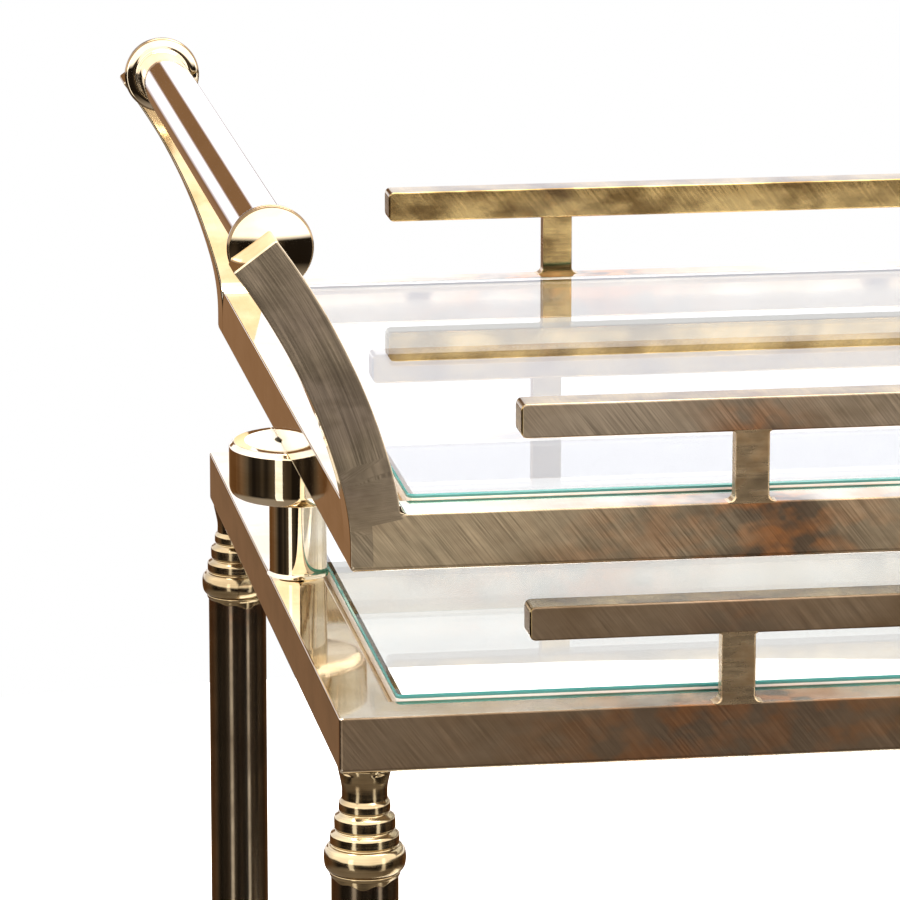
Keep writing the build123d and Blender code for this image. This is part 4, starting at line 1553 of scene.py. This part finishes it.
@dataclass
class Studio:
    """Pale floor, bright soft sky, dark brown surroundings and softboxes that stripe the polished brass."""

    floor_radius: float = 2.2
    camera_place: tuple = (-0.658, -2.328, 1.250)
    camera_yaw: float = -0.150       # radians, anticlockwise from looking along +Y
    camera_pitch: float = 0.229      # radians below level
    lens: float = 232.4
    sensor: float = 36.0
    rear_horizon: float = -0.12
    flag_direction: tuple = (-0.172, 0.963, 0.204)
    flag_width: float = 0.165        # radians
    flag_light: Light = (0.28, 0.15, 0.065, 1)
    front_horizon: float = -0.05
    front_room: tuple[Light, Light] = ((0.015, 0.011, 0.008, 1), (0.12, 0.09, 0.06, 1))
    rear_room: tuple[Light, Light] = ((0.15, 0.07, 0.025, 1), (0.31, 0.17, 0.085, 1))
    room_patch: tuple[float, float, float] = (0.55, 0.55, 1.6)
    front_air: Light = (2.4, 2.3, 2.2, 1)
    rear_air: Light = (1.55, 1.55, 1.66, 1)
    paper_light: Light = (0.36, 0.31, 0.26, 1)    # what brass that faces down sees of the floor
    rim_share: float = 0.9           # of the floor's radius, where its rim starts to sink
    rim_drop: float = 0.02
    floor_gap: float = 0.4 * MM      # between the tyres and the floor
    paper_cloud: float = 0.3

    def floor(self) -> None:
        """Lays a round sheet of matt paper, its rim sinking away."""
        rings = np.linspace(0, 1, 24)
        height = -self.floor_gap - self.rim_drop * np.clip(rings - self.rim_share, 0, 1)
        profile = np.stack((rings * self.floor_radius, height), axis=1)
        sheet = lathe(profile, 96)
        mesh = bpy.data.meshes.new("floor")
        mesh.from_pydata(sheet.points, [], sheet.quads.tolist())
        shape = bmesh.new()
        shape.from_mesh(mesh)
        bmesh.ops.remove_doubles(shape, verts=shape.verts, dist=MERGE_DISTANCE)
        shape.to_mesh(mesh)
        shape.free()
        material, tree = new_material("matt_white_paper")
        place = add_node(tree, "ShaderNodeTexCoord").outputs["Object"]
        tone = spread(tree, noise(tree, place, (self.paper_cloud,) * 3), 0.3, 0.7)
        colour = blend_colour(tree, tone, linear("#F2F1EF"), linear("#F6F5F4"))
        set_surface(tree, {"Base Color": colour, "Roughness": 0.9, "Specular IOR Level": 0.1})
        mesh.materials.append(material)
        thing = bpy.data.objects.new("floor", mesh)
        bpy.context.scene.collection.objects.link(thing)
        thing.visible_glossy = False

    def flag(self, tree: bpy.types.NodeTree, direction: bpy.types.NodeSocket) -> bpy.types.NodeSocket:
        """A dark brown card high behind the cart, which draws the dark band along the handle.

        It covers the directions within a narrow cone about one direction: the dot product with that
        direction is near one.

        Args:
            tree: The world's node tree.
            direction: Socket with the direction looked in.

        Returns:
            One on the card and zero off it.
        """
        middle = Vector(self.flag_direction).normalized()
        toward = add_node(tree, "ShaderNodeVectorMath", {"operation": "DOT_PRODUCT"},
                          {0: direction, 1: tuple(middle)})
        rim, full = math.cos(self.flag_width), math.cos(0.8 * self.flag_width)
        return spread(tree, toward.outputs["Value"], rim, full)

    def surroundings(self) -> None:
        """Sky that is bright above the horizon, a dark brown room below it and pale paper straight below.

        What is seen directly or through the glass is white.
        """
        world = bpy.data.worlds.new("studio")
        world.use_nodes = True
        tree = world.node_tree
        tree.nodes.clear()
        direction = add_node(tree, "ShaderNodeTexCoord").outputs["Generated"]
        parts = add_node(tree, "ShaderNodeSeparateXYZ", inputs={0: direction})
        height = parts.outputs["Z"]
        backward = spread(tree, parts.outputs["Y"], 0.2, 0.7)
        horizon = spread(tree, backward, 0.0, 1.0, self.front_horizon, self.rear_horizon)
        above = add_node(tree, "ShaderNodeMath", {"operation": "SUBTRACT"}, {0: height, 1: horizon})
        patches = spread(tree, noise(tree, direction, self.room_patch, 2.0), 0.42, 0.58)
        front = blend_colour(tree, patches, *self.front_room)
        rear = blend_colour(tree, patches, *self.rear_room)
        room = blend_colour(tree, backward, front, rear)
        below = spread(tree, height, -0.50, -0.36, 1.0, 0.0)
        room = blend_colour(tree, below, room, self.paper_light)
        air = blend_colour(tree, backward, self.front_air, self.rear_air)
        sky = blend_colour(tree, self.flag(tree, direction), air, self.flag_light)
        seen = blend_colour(tree, spread(tree, above.outputs[0], -0.03, 0.03), room, sky)
        path = add_node(tree, "ShaderNodeLightPath")
        direct = add_node(tree, "ShaderNodeMath", {"operation": "MAXIMUM"},
                          {0: path.outputs["Is Camera Ray"], 1: path.outputs["Is Transmission Ray"]})
        colour = blend_colour(tree, direct.outputs[0], seen, (1.0, 1.0, 1.0, 1))
        shown = add_node(tree, "ShaderNodeBackground", inputs={"Color": colour, "Strength": 1.0})
        add_node(tree, "ShaderNodeOutputWorld", inputs={"Surface": shown.outputs[0]})
        bpy.context.scene.world = world

    def softbox(self, name: str, place: Sequence[float], target: Sequence[float], size: tuple[float, float],
                watts: float) -> None:
        """Hangs one softbox.

        Args:
            name: Its name.
            place: Where it hangs.
            target: What it faces.
            size: Width and height.
            watts: Its power.
        """
        lamp = bpy.data.lights.new(name, "AREA")
        lamp.shape = "RECTANGLE"
        lamp.size, lamp.size_y = size
        lamp.energy = watts
        thing = bpy.data.objects.new(name, lamp)
        thing.location = place
        thing.rotation_euler = (Vector(target) - Vector(place)).to_track_quat("-Z", "Y").to_euler()
        thing.visible_camera = False
        thing.visible_transmission = False
        bpy.context.scene.collection.objects.link(thing)

    def camera(self) -> None:
        """Sets up a long lens that looks a little down at the handle end."""
        data = bpy.data.cameras.new("camera")
        data.lens = self.lens
        data.sensor_width = self.sensor
        data.clip_end = 50
        thing = bpy.data.objects.new("camera", data)
        thing.location = self.camera_place
        thing.rotation_euler = (math.pi / 2 - self.camera_pitch, 0, self.camera_yaw)
        bpy.context.scene.collection.objects.link(thing)
        bpy.context.scene.camera = thing

    def build(self) -> None:
        """Sets up the floor, the surroundings, the softboxes and the camera."""
        bpy.context.scene.view_settings.view_transform = "Standard"
        self.floor()
        self.surroundings()
        self.softbox("overhead", (0.1, 0.2, 2.6), (0, 0, 0.6), (2.2, 1.6), 110)
        self.softbox("left_strip", (-1.31, -1.17, 0.45), (-0.37, 0, 0.65), (0.33, 1.3), 2.2)
        self.softbox("right_strip", (0.65, -1.23, 0.45), (-0.37, 0, 0.65), (0.28, 1.3), 1.8)
        self.camera()


def main() -> None:
    """Builds the cart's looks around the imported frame."""
    logging.basicConfig(level=logging.INFO, format="%(message)s")
    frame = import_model()
    Cart(Workshop(), frame["nodes"]).build()
    Studio().build()


if __name__ == "__main__":
    main()
